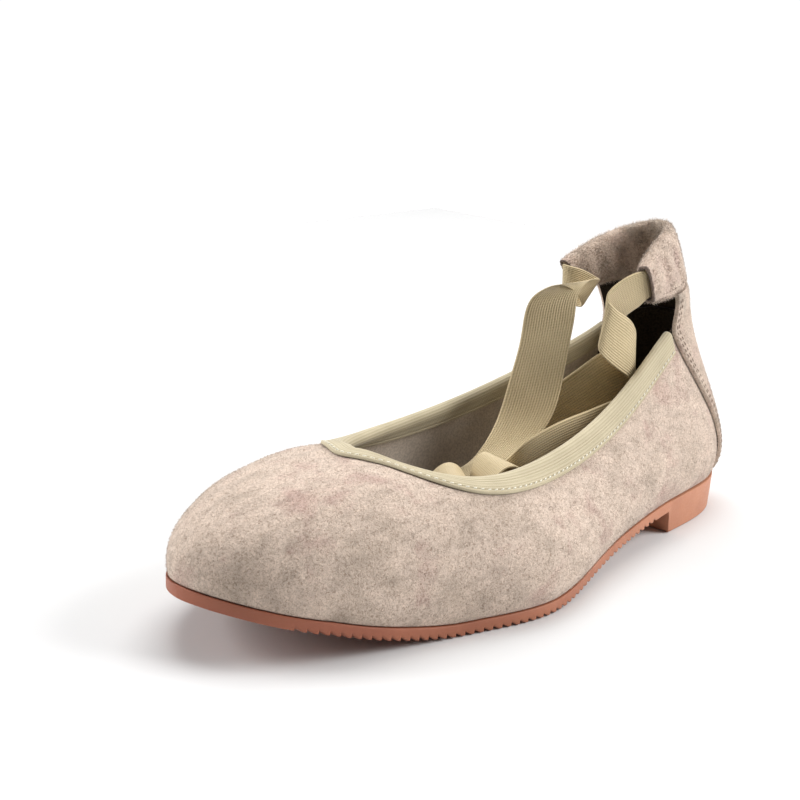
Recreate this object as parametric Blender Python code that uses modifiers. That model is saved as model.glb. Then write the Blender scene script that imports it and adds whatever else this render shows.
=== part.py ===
"""Ballet flat, left shoe: suede upper, moulded rubber sole, and a ribbon in a casing at the back.

The heel's back lies near the start of +X and the toe at its end, the wearer's left is +Y and the
floor is z = 0. All lengths are in metres.
"""
import math

import bmesh
import bpy
import numpy as np

# Driving dimensions
SOLE_LENGTH = 0.248
BALL_WIDTH = 0.080
HEEL_HEIGHT = 0.0130
SOLE_THICKNESS = 0.0040
TOE_SPRING = 0.0170
THROAT_HEIGHT = 0.0490
BACK_HEIGHT = 0.1045

# Thicknesses and clearances
UPPER_WALL = 0.0018
PANEL_WALL = 0.0014
CASING_WALL = 0.0013
CASING_DEPTH = 0.0052
BINDING_WALL = 0.0008
BINDING_WIDTH = 0.0065
INSOLE_THICKNESS = 0.0022
RIBBON_WIDTH = 0.0170
RIBBON_THICKNESS = 0.0010
GAP = 0.0003
SLACK = 0.0001
INSOLE_CLEAR = 0.0008

# Sole unit
SOLE_REVEAL = 0.0006
SOLE_UNDERCUT = 0.0004
HEEL_ROUND = 0.0300
HEEL_BREAST = 0.0520
BREAST_SLOPE = 0.0030
HEEL_TAPER = 0.0010
RIB_PITCH = 0.0032
RIB_DEPTH = 0.0013
RIB_REACH = 0.0100
RIB_MARGIN = 0.0085
NOSE_MARGIN = 0.0174
STATION_GAP = 0.00006

# Ribbon heap inside the shoe: its middle in plan, and its length, width and height
BUNDLE_CENTRE = (0.1343, 0.0000)
BUNDLE_SIZE = (0.0365, 0.0320, 0.0275)

# The last, heel back to toe. foot_x, rim_x, low_out and high_out are shares of SOLE_LENGTH; foot and
# rim lateral and medial are shares of half BALL_WIDTH; rim_z, low_rise and high_drop are shares of
# THROAT_HEIGHT. foot is the feather line, rim the topline, and low and high are the handles of the
# side's curve at the feather line and at the topline.
LAST = [
    # foot_x, lateral, medial, rim_x, lateral, medial, rim_z, low_out, low_rise, high_out, high_drop
    (0.010, 0.00, 0.00, 0.064, -0.12, 0.12, 1.45, 0.028, 0.33, 0.013, 0.38),
    (0.032, 0.29, 0.33, 0.080, 0.09, 0.32, 1.45, 0.026, 0.32, 0.013, 0.37),
    (0.092, 0.53, 0.55, 0.133, 0.23, 0.43, 1.41, 0.028, 0.31, 0.014, 0.33),
    (0.190, 0.65, 0.65, 0.202, 0.34, 0.47, 1.28, 0.033, 0.28, 0.018, 0.29),
    (0.310, 0.75, 0.67, 0.321, 0.52, 0.66, 1.05, 0.041, 0.25, 0.022, 0.25),
    (0.440, 0.94, 0.73, 0.446, 0.67, 0.77, 0.90, 0.045, 0.235, 0.026, 0.20),
    (0.570, 1.16, 0.87, 0.563, 0.74, 0.79, 0.84, 0.039, 0.24, 0.038, 0.15),
    (0.690, 1.03, 0.98, 0.649, 0.64, 0.66, 0.855, 0.027, 0.26, 0.062, 0.075),
    (0.800, 0.88, 0.94, 0.703, 0.36, 0.39, 0.925, 0.020, 0.28, 0.091, 0.015),
    (0.900, 0.70, 0.76, 0.726, 0.20, 0.23, 0.98, 0.018, 0.285, 0.118, 0.012),
    (0.965, 0.40, 0.45, 0.735, 0.07, 0.09, 1.00, 0.016, 0.31, 0.151, 0.02),
    (0.996, -0.05, 0.05, 0.739, -0.01, 0.01, 1.00, 0.013, 0.31, 0.180, 0.02),
]

# Heights of the sole's top along the shoe: x is a share of SOLE_LENGTH. seat is a share of the heel
# seat's height over the forefoot, and spring a share of TOE_SPRING.
SOLE_LINE = [
    # x, seat, spring
    (0.00, 1.00, 0.00),
    (0.10, 1.02, 0.00),
    (0.22, 0.94, 0.00),
    (0.34, 0.58, 0.00),
    (0.46, 0.17, 0.00),
    (0.58, 0.00, 0.00),
    (0.70, 0.00, 0.00),
    (0.79, 0.00, 0.17),
    (0.88, 0.00, 0.52),
    (1.00, 0.00, 1.03),
]

# Edges of the heel panel on the upper, as places counted in rows of LAST on each side of the back.
PANEL_EDGE = [
    # rise, lateral, medial
    (0.00, 1.25, 3.00),
    (0.35, 1.62, 2.85),
    (0.70, 2.02, 2.62),
    (1.00, 2.35, 2.50),
]

# The casing, from its medial end round the back to its lateral end. x is a share of SOLE_LENGTH,
# y of half BALL_WIDTH and z of BACK_HEIGHT, at its lower and its upper edge.
CASING = [
    # low_x, low_y, low_z, high_x, high_y, high_z
    (0.220, -0.45, 0.775, 0.266, -0.43, 0.885),
    (0.170, -0.46, 0.780, 0.207, -0.44, 0.930),
    (0.118, -0.40, 0.788, 0.146, -0.38, 0.970),
    (0.090, -0.15, 0.798, 0.116, -0.16, 1.000),
    (0.107, 0.09, 0.790, 0.138, 0.03, 0.985),
    (0.155, 0.22, 0.775, 0.186, 0.13, 0.955),
    (0.226, 0.29, 0.778, 0.246, 0.28, 0.905),
]
PANEL_IN_CASING = (1.00, 5.05)

# Routes of the ribbon's free tails: the middle of the ribbon, the direction across it, and its width
# as a share of RIBBON_WIDTH.
TAIL_LATERAL = [
    # x, y, z, across_x, across_y, across_z, width
    (0.0591, 0.0122, 0.0877, 0.32, 0.00, 0.95, 0.64),
    (0.0625, 0.0112, 0.0862, 0.35, -0.04, 0.94, 0.74),
    (0.0665, 0.0099, 0.0841, 0.47, -0.05, 0.88, 0.77),
    (0.0700, 0.0089, 0.0814, 0.43, -0.04, 0.90, 0.80),
    (0.0740, 0.0085, 0.0780, 0.11, 0.03, 0.99, 0.88),
    (0.0768, 0.0097, 0.0760, -0.19, 0.06, 0.98, 0.92),
    (0.0760, 0.0113, 0.0734, -0.35, 0.04, 0.94, 0.95),
    (0.0704, 0.0120, 0.0696, -0.30, 0.00, 0.95, 1.03),
    (0.0640, 0.0115, 0.0657, -0.15, -0.03, 0.99, 1.07),
    (0.0573, 0.0091, 0.0611, -0.01, -0.06, 1.00, 1.07),
    (0.0540, 0.0061, 0.0568, 0.24, -0.05, 0.97, 1.15),
    (0.0569, 0.0046, 0.0550, 0.44, -0.02, 0.90, 1.32),
    (0.0634, 0.0036, 0.0535, 0.51, -0.02, 0.86, 1.38),
    (0.0691, 0.0015, 0.0505, 0.52, -0.04, 0.85, 1.31),
    (0.0737, -0.0022, 0.0462, 0.53, -0.07, 0.85, 1.25),
    (0.0785, -0.0073, 0.0410, 0.56, -0.07, 0.83, 1.20),
    (0.0840, -0.0118, 0.0358, 0.56, -0.08, 0.82, 1.16),
    (0.0905, -0.0143, 0.0315, 0.57, -0.08, 0.82, 1.12),
]
TAIL_MEDIAL = [
    # x, y, z, across_x, across_y, across_z, width
    (0.0619, -0.0184, 0.0862, 0.68, 0.05, 0.73, 0.66),
    (0.0655, -0.0175, 0.0860, 0.30, 0.05, 0.95, 0.66),
    (0.0685, -0.0152, 0.0860, 0.00, 0.07, 1.00, 0.66),
    (0.0683, -0.0120, 0.0852, -0.22, 0.05, 0.97, 0.70),
    (0.0662, -0.0095, 0.0837, -0.50, 0.00, 0.87, 0.76),
    (0.0650, -0.0066, 0.0828, -0.68, 0.00, 0.74, 0.74),
    (0.0680, -0.0043, 0.0845, -0.86, -0.10, 0.50, 0.74),
    (0.0730, -0.0028, 0.0868, -0.96, -0.15, 0.22, 0.76),
    (0.0785, -0.0027, 0.0884, -0.99, 0.12, 0.02, 0.82),
    (0.0830, -0.0038, 0.0871, -0.92, 0.38, 0.05, 0.94),
    (0.0858, -0.0050, 0.0843, -0.85, 0.51, 0.11, 1.02),
    (0.0869, -0.0057, 0.0799, -0.78, 0.60, 0.15, 1.05),
    (0.0873, -0.0060, 0.0745, -0.74, 0.64, 0.17, 1.06),
    (0.0886, -0.0061, 0.0673, -0.73, 0.66, 0.15, 1.05),
    (0.0910, -0.0061, 0.0585, -0.74, 0.65, 0.14, 1.10),
    (0.0937, -0.0059, 0.0503, -0.77, 0.63, 0.14, 1.15),
    (0.0975, -0.0056, 0.0427, -0.78, 0.60, 0.15, 1.18),
    (0.1035, -0.0054, 0.0365, -0.79, 0.59, 0.17, 1.16),
    (0.1100, -0.0053, 0.0326, -0.78, 0.60, 0.20, 1.10),
    (0.1155, -0.0055, 0.0300, -0.72, 0.68, 0.16, 1.06),
]
RIBBON_LOOP = [
    # x, y, z, across_x, across_y, across_z, width
    (0.0985, -0.0140, 0.0270, 0.50, -0.05, 0.86, 1.03),
    (0.1065, -0.0105, 0.0230, 0.35, 0.00, 0.94, 1.00),
    (0.1125, -0.0050, 0.0210, 0.20, 0.00, 0.98, 0.95),
    (0.1158, 0.0026, 0.0250, 0.12, 0.05, 0.99, 1.00),
    (0.1130, 0.0080, 0.0312, 0.22, 0.03, 0.98, 1.05),
    (0.1040, 0.0108, 0.0356, 0.30, 0.00, 0.95, 1.08),
    (0.0935, 0.0122, 0.0380, 0.34, 0.00, 0.94, 1.10),
    (0.0830, 0.0126, 0.0391, 0.35, 0.00, 0.94, 1.10),
    (0.0730, 0.0126, 0.0401, 0.36, 0.00, 0.93, 1.10),
    (0.0630, 0.0123, 0.0402, 0.36, 0.00, 0.93, 1.10),
    (0.0540, 0.0100, 0.0370, 0.20, 0.00, 0.98, 1.05),
    (0.0492, 0.0048, 0.0320, 0.05, 0.00, 1.00, 1.00),
    (0.0505, -0.0012, 0.0275, 0.00, 0.00, 1.00, 1.00),
    (0.0570, -0.0046, 0.0244, 0.05, 0.00, 1.00, 1.00),
    (0.0640, -0.0052, 0.0232, 0.05, 0.00, 1.00, 1.00),
]

CORD_NODES = ("ribbon_tail_lateral", "ribbon_tail_medial", "ribbon_loop", "ribbon_bundle")
SECTIONS_PER_ROW = 4
UPPER_RINGS = 10
BINDING_SECTIONS = 63
BINDING_CLEAR = 0.12
CASING_SQUARENESS = 0.55
TURNS = 2 * (len(LAST) - 1)


def table_rows():
    """The rows of LAST as a closed run in metres: heel back, lateral side, toe, medial side."""
    lateral, medial = [], []
    half = BALL_WIDTH / 2
    for foot_x, lat, med, rim_x, rim_lat, rim_med, rim_z, out1, rise1, out2, drop2 in LAST:
        place = (foot_x * SOLE_LENGTH, rim_x * SOLE_LENGTH, rim_z * THROAT_HEIGHT)
        handles = (out1 * SOLE_LENGTH, rise1 * THROAT_HEIGHT,
                   out2 * SOLE_LENGTH, drop2 * THROAT_HEIGHT)
        lateral.append((place[0], lat * half, place[1], rim_lat * half, place[2]) + handles)
        medial.append((place[0], -med * half, place[1], -rim_med * half, place[2]) + handles)
    return np.array(lateral + medial[-2:0:-1])


def closed_curve(rows, place):
    """Smooth closed curve through the rows, read at places counted in rows."""
    count = len(rows)
    ring = 4 * np.eye(count) + np.roll(np.eye(count), 1, 0) + np.roll(np.eye(count), -1, 0)
    slope = np.linalg.solve(ring, 3 * (np.roll(rows, -1, 0) - np.roll(rows, 1, 0)))
    place = np.asarray(place, float) % count
    near = np.floor(place).astype(int) % count
    return hermite(rows[near], rows[(near + 1) % count], slope[near], slope[(near + 1) % count],
                   (place - np.floor(place))[..., None])


def open_curve(rows, place):
    """Smooth open curve through the rows, read at places counted in rows, with free ends."""
    rows = np.asarray(rows, float)
    count = len(rows)
    chain = 4 * np.eye(count) + np.eye(count, k=1) + np.eye(count, k=-1)
    chain[0, 0] = chain[-1, -1] = 2
    rise = np.zeros_like(rows)
    rise[1:-1] = rows[2:] - rows[:-2]
    rise[0] = rows[1] - rows[0]
    rise[-1] = rows[-1] - rows[-2]
    slope = np.linalg.solve(chain, 3 * rise)
    place = np.clip(np.asarray(place, float), 0, count - 1)
    near = np.minimum(np.floor(place).astype(int), count - 2)
    return hermite(rows[near], rows[near + 1], slope[near], slope[near + 1],
                   (place - near)[..., None])


def hermite(start, end, start_slope, end_slope, t):
    """Cubic from start to end with the given slopes, at t from 0 to 1."""
    return (start * (1 + 2 * t) * (1 - t) ** 2 + end * t * t * (3 - 2 * t)
            + start_slope * t * (1 - t) ** 2 + end_slope * t * t * (t - 1))


ROWS = table_rows()


def sole_top(x):
    """Height of the sole's top face at length x: heel seat, waist, flat ball and toe spring."""
    share, seat, spring = np.array(SOLE_LINE).T
    knots = np.array(SOLE_LINE)
    near = np.interp(np.clip(x / SOLE_LENGTH, 0, 1), share, np.arange(len(knots)))
    slope = np.gradient(knots[:, 1:], share, axis=0) * np.gradient(share)[:, None]
    slope[(seat == 0) & (spring == 0)] = 0
    index = np.minimum(np.floor(near).astype(int), len(knots) - 2)
    level = hermite(knots[index, 1:], knots[index + 1, 1:], slope[index], slope[index + 1],
                    (near - index)[..., None])
    return (SOLE_THICKNESS + level[..., 0] * (HEEL_HEIGHT - SOLE_THICKNESS)
            + level[..., 1] * TOE_SPRING)


def plan_normal(place):
    """Outward direction of the feather line in plan."""
    step = 0.02
    ahead = closed_curve(ROWS, np.asarray(place) + step)[..., :2]
    behind = closed_curve(ROWS, np.asarray(place) - step)[..., :2]
    along = ahead - behind
    along /= np.linalg.norm(along, axis=-1, keepdims=True)
    return np.stack([-along[..., 1], along[..., 0], np.zeros(along.shape[:-1])], -1)


def last_handles(place):
    """The four points of the side's cubic, from the feather line to the topline."""
    row = closed_curve(ROWS, place)
    foot = np.stack([row[..., 0], row[..., 1], sole_top(row[..., 0]) + GAP], -1)
    rim = row[..., 2:5]
    out = plan_normal(place)
    up = np.array([0.0, 0.0, 1.0])
    low = foot + out * row[..., 5:6] + up * row[..., 6:7]
    high = rim + out * row[..., 7:8] - up * row[..., 8:9]
    return foot, low, high, rim


def last_surface(place, rise):
    """Point of the upper's outer face, at rise 0 on the feather line and 1 on the topline."""
    foot, low, high, rim = last_handles(place)
    t = np.asarray(rise, float)[..., None]
    return foot * (1 - t) ** 3 + 3 * low * t * (1 - t) ** 2 + 3 * high * t * t * (1 - t) + rim * t ** 3


def casing_edge(place, height):
    """Point on the casing's middle face: place in rows of CASING, height 0 to 1 up its face."""
    rows = np.array(CASING) * np.tile([SOLE_LENGTH, BALL_WIDTH / 2, BACK_HEIGHT], 2)
    row = open_curve(rows, place)
    t = np.asarray(height, float)[..., None]
    return row[..., :3] * (1 - t) + row[..., 3:] * t


def grid_normals(points):
    """Unit normals of a grid whose first index runs round the shoe and whose second runs up it."""
    normal = np.cross(np.gradient(points, axis=1), np.gradient(points, axis=0))
    return normal / np.linalg.norm(normal, axis=-1, keepdims=True)


def material(name, colour, roughness):
    """A Principled material of one colour."""
    finish = bpy.data.materials.new(name)
    finish.use_nodes = True
    shader = finish.node_tree.nodes["Principled BSDF"]
    shader.inputs["Base Color"].default_value = (*colour, 1.0)
    shader.inputs["Roughness"].default_value = roughness
    shader.inputs["Metallic"].default_value = 0.0
    return finish


def add_object(name, points, faces, finish, smooth=True):
    """A mesh object from points and faces, with one material, in the shoe's collection."""
    mesh = bpy.data.meshes.new(name)
    mesh.from_pydata([tuple(p) for p in points], [], faces)
    if smooth:
        mesh.shade_smooth()
    mesh.materials.append(finish)
    piece = bpy.data.objects.new(name, mesh)
    bpy.data.collections["ballet_flat"].objects.link(piece)
    return piece


def grid_faces(rows, columns, round_rows=False, round_columns=False):
    """Quads of a grid of rows and columns, facing out where rows run round and columns run up."""
    faces = []
    for i in range(rows if round_rows else rows - 1):
        for j in range(columns if round_columns else columns - 1):
            i2, j2 = (i + 1) % rows, (j + 1) % columns
            faces.append((i * columns + j, i * columns + j2, i2 * columns + j2, i2 * columns + j))
    return faces


def thicken(piece, thickness, offset):
    """Give an open surface its wall: offset -1 is inward, 1 outward and 0 both ways."""
    wall = piece.modifiers.new("wall", "SOLIDIFY")
    wall.thickness = thickness
    wall.offset = offset
    wall.use_even_offset = True
    wall.use_rim = True


def close_body(piece):
    """Merge doubled points of a loft's ends and turn its faces outward."""
    work = bmesh.new()
    work.from_mesh(piece.data)
    bmesh.ops.remove_doubles(work, verts=work.verts, dist=0.00001)
    bmesh.ops.recalc_face_normals(work, faces=work.faces)
    work.to_mesh(piece.data)
    work.free()


def loft(name, sections, finish, smooth=True):
    """A closed body through like sections, each a ring of points, with its ends capped."""
    sections = np.asarray(sections)
    count, ring = sections.shape[:2]
    faces = grid_faces(count, ring, round_columns=True)
    faces.append(tuple(range(ring)))
    faces.append(tuple(range((count - 1) * ring, count * ring)))
    piece = add_object(name, sections.reshape(-1, 3), faces, finish, smooth)
    close_body(piece)
    return piece


def outline(x, side, offset):
    """Half outline at length x: the feather line moved outward by offset, on side 1 or -1."""
    place = side * np.linspace(0, TURNS / 2, 400)
    line = closed_curve(ROWS, place)[:, :2] + plan_normal(place)[:, :2] * offset
    return np.interp(x, line[:, 0], line[:, 1])


def outline_ends(offset):
    """Lengths of the outline's back and toe, each cut off by SLACK, so that it is a small face."""
    ends = np.array([0.0, TURNS / 2])
    x = closed_curve(ROWS, ends)[:, 0] + plan_normal(ends)[:, 0] * offset
    return x[0] + SLACK, x[1] - SLACK


def rib_ends():
    """Lengths where the ribs start, just before the heel's breast, and end, just behind the toe."""
    return HEEL_BREAST + BREAST_SLOPE + RIB_MARGIN, SOLE_LENGTH - NOSE_MARGIN


def rib_depths(x):
    """Depth of the saw-tooth ribs at length x, one steep and one slanting flank to each pitch."""
    start, end = rib_ends()
    turn = (x - start) / RIB_PITCH
    tooth = np.clip((turn - np.floor(turn)) / 0.7, 0, 1)
    tooth = np.where(turn - np.floor(turn) > 0.72, 0.0, tooth)
    return np.where((x > start) & (x < end), RIB_DEPTH * tooth, 0.0)


def sole_stations():
    """Lengths at which the sole is cut into sections: its round ends, breast and ribs."""
    back, toe = outline_ends(SOLE_REVEAL)
    turn = np.linspace(0, math.pi / 2, 9)
    first, last = rib_ends()
    heel = back + (HEEL_ROUND - back) * (1 - np.cos(turn))
    nose = toe - (toe - last) * (1 - np.cos(turn))
    breast = [HEEL_BREAST, HEEL_BREAST + BREAST_SLOPE]
    pitch = np.arange(first, last - RIB_PITCH, RIB_PITCH)
    ribs = np.concatenate([pitch, pitch + 0.70 * RIB_PITCH, pitch + 0.74 * RIB_PITCH])
    stations = np.unique(np.concatenate([heel, nose, breast, ribs]))
    return stations[np.append(np.diff(stations) > STATION_GAP, True)]


def build_outsole(finish):
    """The moulded unit: heel block, waist, flat ball, toe spring, and ribs along both sides."""
    x = sole_stations()
    top = sole_top(x)
    breast = np.clip((x - HEEL_BREAST) / BREAST_SLOPE, 0, 1)
    bottom = np.maximum(top - SOLE_THICKNESS, 0) * breast
    taper = HEEL_TAPER * (1 - breast)
    notch = rib_depths(x)
    sections = []
    for side in (1, -1):
        edge = outline(x, side, SOLE_REVEAL)
        foot = outline(x, side, SOLE_REVEAL - SOLE_UNDERCUT)
        middle = (outline(x, 1, SOLE_REVEAL) + outline(x, -1, SOLE_REVEAL)) / 2
        low = foot - np.sign(foot - middle) * np.minimum(taper, np.abs(foot - middle) / 2)
        inner = low - np.sign(low - middle) * np.minimum(RIB_REACH, np.abs(low - middle) / 2)
        ring = [np.stack([x, edge, top], -1), np.stack([x, low, bottom + notch], -1),
                np.stack([x, inner, bottom], -1)]
        sections.append(ring if side == 1 else ring[::-1])
    return loft("outsole", np.stack(sections[0] + sections[1], 1), finish, smooth=False)


def build_insole(finish):
    """The footbed board on the sole, just inside the upper's wall."""
    inset = -(UPPER_WALL + INSOLE_CLEAR)
    back, toe = outline_ends(inset)
    x = back + (toe - back) * (1 - np.cos(np.linspace(0, math.pi, 34))) / 2
    low = sole_top(x) + GAP
    high = low + INSOLE_THICKNESS
    lateral, medial = outline(x, 1, inset), outline(x, -1, inset)
    sections = np.stack([np.stack([x, lateral, low], -1), np.stack([x, lateral, high], -1),
                         np.stack([x, medial, high], -1), np.stack([x, medial, low], -1)], 1)
    return loft("insole", sections, finish)


def build_upper(finish):
    """The lasted shell: one wall from the feather line to the topline, open above and below."""
    count = TURNS * SECTIONS_PER_ROW
    place = np.arange(count)[:, None] / SECTIONS_PER_ROW
    rise = np.linspace(0, 1, UPPER_RINGS)[None, :]
    place, rise = np.broadcast_arrays(place, rise)
    points = last_surface(place, rise)
    piece = add_object("upper", points.reshape(-1, 3),
                       grid_faces(count, UPPER_RINGS, round_rows=True), finish)
    thicken(piece, UPPER_WALL, -1)
    return piece


def panel_grid(columns, low_rings, neck_rings):
    """Faces of the heel panel on the upper's outer face, and on up the back to the casing."""
    rise, lateral, medial = np.array(PANEL_EDGE).T
    across = np.linspace(0, 1, columns)[:, None]
    level = np.linspace(0, 1, low_rings)[None, :]
    place = (-np.interp(level, rise, medial) * (1 - across) + np.interp(level, rise, lateral) * across)
    low = last_surface(place, np.broadcast_to(level, place.shape))
    foot, _, high, rim = last_handles(place[:, -1])
    seam_place = PANEL_IN_CASING[0] + (PANEL_IN_CASING[1] - PANEL_IN_CASING[0]) * across[:, 0]
    seam = casing_edge(seam_place, 0.0)
    climb = casing_edge(seam_place, 1.0) - seam
    seam = seam - climb / np.linalg.norm(climb, axis=-1, keepdims=True) * GAP
    reach = np.linalg.norm(seam - rim, axis=-1, keepdims=True)
    start = (rim - high) / np.linalg.norm(rim - high, axis=-1, keepdims=True) * reach
    end = climb / np.linalg.norm(climb, axis=-1, keepdims=True) * reach
    t = np.linspace(0, 1, neck_rings + 1)[None, 1:, None]
    neck = hermite(rim[:, None], seam[:, None], start[:, None], end[:, None], t)
    return np.concatenate([low, neck], 1)


def build_heel_panel(finish):
    """The counter panel: laid over the quarters from the sole, and free above their topline."""
    points = panel_grid(25, 8, 4)
    points = points + grid_normals(points) * (GAP + SLACK)
    piece = add_object("heel_panel", points.reshape(-1, 3), grid_faces(*points.shape[:2]), finish)
    thicken(piece, PANEL_WALL, 1)
    return piece


def casing_sections(stations, ring, inset):
    """Rings of the folded casing, a flat loop as tall as the fold and CASING_DEPTH deep."""
    place = np.linspace(0, len(CASING) - 1, stations)
    low, high = casing_edge(place, 0.0), casing_edge(place, 1.0)
    middle = (low + high) / 2
    up = (high - low) / 2
    half = np.linalg.norm(up, axis=-1, keepdims=True)
    up = up / half
    along = np.gradient(middle, axis=0)
    inward = np.cross(up, along)
    inward = inward / np.linalg.norm(inward, axis=-1, keepdims=True)
    turn = np.linspace(0, 2 * math.pi, ring, endpoint=False)
    height = np.sign(np.cos(turn)) * np.abs(np.cos(turn)) ** CASING_SQUARENESS
    depth = np.sign(np.sin(turn)) * np.abs(np.sin(turn)) ** CASING_SQUARENESS
    deep = CASING_DEPTH / 2 - inset
    return (middle[:, None] + up[:, None] * height[None, :, None] * (half[:, None] - inset)
            + inward[:, None] * (depth[None, :, None] * deep + CASING_DEPTH / 2 - PANEL_WALL))


def build_casing(finish):
    """The folded-over suede tunnel round the back, open at both ends for the ribbon."""
    rings = casing_sections(22, 14, 0.0)
    piece = add_object("casing", rings.reshape(-1, 3),
                       grid_faces(*rings.shape[:2], round_columns=True), finish)
    work = bmesh.new()
    work.from_mesh(piece.data)
    bmesh.ops.recalc_face_normals(work, faces=work.faces)
    work.to_mesh(piece.data)
    work.free()
    thicken(piece, CASING_WALL, -1)
    return piece


def binding_profile(place):
    """The binding's folded strip at each place: down the outside, over the rim, down the inside."""
    fine = np.linspace(0.55, 1, 40)
    points = last_surface(place[:, None] + 0 * fine, fine[None, :] + 0 * place[:, None])
    step = np.linalg.norm(np.diff(points, axis=1), axis=-1)
    down = np.concatenate([np.cumsum(step[:, ::-1], axis=1)[:, ::-1], 0 * step[:, :1]], 1)
    normals = grid_normals(points)
    outer, inner = [], []
    clear = GAP + SLACK + BINDING_WALL / 2
    for share in (1.0, 0.5, 0.04):
        target = share * BINDING_WIDTH
        index = [np.interp(-target, -row, np.arange(len(fine))) for row in down]
        low = np.floor(index).astype(int).clip(0, len(fine) - 2)
        t = (np.array(index) - low)[:, None]
        each = np.arange(len(place))
        at = points[each, low] * (1 - t) + points[each, low + 1] * t
        normal = normals[each, low] * (1 - t) + normals[each, low + 1] * t
        outer.append(at + normal * clear)
        inner.append(at - normal * (UPPER_WALL + clear))
    rim = points[:, -1]
    up = rim - points[:, -2]
    up = up / np.linalg.norm(up, axis=-1, keepdims=True)
    normal = normals[:, -1]
    lift = clear + 2 * SLACK
    crown = [rim + up * lift + normal * clear * 0.6,
             rim + up * lift - normal * (UPPER_WALL + clear * 0.6)]
    return np.stack(outer + crown + inner[::-1], 1)


def build_binding(finish):
    """The elastic folded over the topline, from one edge of the heel panel round to the other."""
    edge = np.array(PANEL_EDGE)[-1]
    place = np.linspace(edge[1] + BINDING_CLEAR, TURNS - edge[2] - BINDING_CLEAR, BINDING_SECTIONS)
    strip = binding_profile(place)
    piece = add_object("binding", strip.reshape(-1, 3), grid_faces(*strip.shape[:2]), finish)
    thicken(piece, BINDING_WALL, 0)
    return piece


def ribbon_strip(name, centre, across, width, finish):
    """A flat ribbon along its middle line, RIBBON_THICKNESS thick."""
    across = across / np.linalg.norm(across, axis=-1, keepdims=True)
    half = across * np.asarray(width)[:, None] / 2
    strip = np.stack([centre - half, centre, centre + half], 1)
    piece = add_object(name, strip.reshape(-1, 3), grid_faces(*strip.shape[:2]), finish)
    thicken(piece, RIBBON_THICKNESS, 0)
    return piece


def build_tail(name, table, finish):
    """A free tail of the ribbon along its route."""
    rows = open_curve(table, np.linspace(0, len(table) - 1, 30))
    return ribbon_strip(name, rows[:, :3], rows[:, 3:6], rows[:, 6] * RIBBON_WIDTH, finish)


def build_ribbon_in_casing(finish):
    """The ribbon where it lies in the tunnel, end to end of the casing."""
    rings = casing_sections(30, 4, CASING_WALL)
    top, bottom = rings[:, 0], rings[:, 2]
    height = np.linalg.norm(top - bottom, axis=-1)
    centre = (top + bottom) / 2
    return ribbon_strip("ribbon_in_casing", centre, top - bottom, height - 4 * GAP, finish)


def build_bundle(finish):
    """The heap that the tails' ends make on the insole."""
    mesh = bpy.data.meshes.new("ribbon_bundle")
    work = bmesh.new()
    bmesh.ops.create_uvsphere(work, u_segments=20, v_segments=10, radius=0.5)
    share = np.linspace(-0.45, 0.45, 31)
    bulge = BUNDLE_SIZE[2] * (0.5 - np.sqrt(0.25 - share ** 2))
    seat = np.max(sole_top(BUNDLE_CENTRE[0] + share * BUNDLE_SIZE[0]) - bulge)
    floor = float(seat) + 2 * GAP + INSOLE_THICKNESS
    for vert in work.verts:
        vert.co.x = BUNDLE_CENTRE[0] + vert.co.x * BUNDLE_SIZE[0]
        vert.co.y = BUNDLE_CENTRE[1] + vert.co.y * BUNDLE_SIZE[1]
        vert.co.z = floor + (vert.co.z + 0.5) * BUNDLE_SIZE[2]
    work.to_mesh(mesh)
    work.free()
    mesh.shade_smooth()
    mesh.materials.append(finish)
    piece = bpy.data.objects.new("ribbon_bundle", mesh)
    bpy.data.collections["ballet_flat"].objects.link(piece)
    return piece


def centre_on_box(pieces):
    """Move all meshes so that the box of the shoe without its ribbon tails is centred in plan."""
    graph = bpy.context.evaluated_depsgraph_get()
    corners = []
    for piece in pieces:
        if piece.name not in CORD_NODES:
            mesh = piece.evaluated_get(graph).to_mesh()
            flat = np.empty(len(mesh.vertices) * 3)
            mesh.vertices.foreach_get("co", flat)
            corners.append(flat.reshape(-1, 3))
    corners = np.concatenate(corners)
    middle = (corners.min(0) + corners.max(0)) / 2
    shift = np.array([middle[0], middle[1], 0.0])
    for piece in pieces:
        flat = np.empty(len(piece.data.vertices) * 3)
        piece.data.vertices.foreach_get("co", flat)
        piece.data.vertices.foreach_set("co", (flat.reshape(-1, 3) - shift).ravel())
        piece.data.update()


def main():
    for old in list(bpy.data.objects):
        bpy.data.objects.remove(old, do_unlink=True)
    shoe = bpy.data.collections.new("ballet_flat")
    bpy.context.scene.collection.children.link(shoe)

    pieces = [
        build_outsole(material("outsole_rubber", (0.55, 0.20, 0.12), 0.6)),
        build_insole(material("insole_lining", (0.22, 0.17, 0.13), 0.8)),
        build_upper(material("upper_suede", (0.47, 0.37, 0.31), 0.9)),
        build_heel_panel(material("panel_suede", (0.45, 0.35, 0.29), 0.9)),
        build_casing(material("casing_suede", (0.46, 0.36, 0.30), 0.9)),
        build_binding(material("binding_elastic", (0.50, 0.46, 0.28), 0.8)),
        build_ribbon_in_casing(material("ribbon_hidden", (0.52, 0.48, 0.30), 0.8)),
        build_tail("ribbon_tail_lateral", TAIL_LATERAL, material("ribbon_lateral", (0.52, 0.48, 0.30), 0.8)),
        build_tail("ribbon_tail_medial", TAIL_MEDIAL, material("ribbon_medial", (0.52, 0.48, 0.30), 0.8)),
        build_tail("ribbon_loop", RIBBON_LOOP, material("ribbon_turned", (0.52, 0.48, 0.30), 0.8)),
        build_bundle(material("ribbon_heap", (0.52, 0.48, 0.30), 0.8)),
    ]
    centre_on_box(pieces)


main()
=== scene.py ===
"""Ballet flat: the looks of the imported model, piece by piece, as a maker puts the shoe together.

Lengths are in metres. The tables count from the back of the heel, as the part's own tables do, and
PLACE_OF_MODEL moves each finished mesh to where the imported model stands.
"""
import math

import bpy
import numpy as np
from mathutils import Matrix


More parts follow.
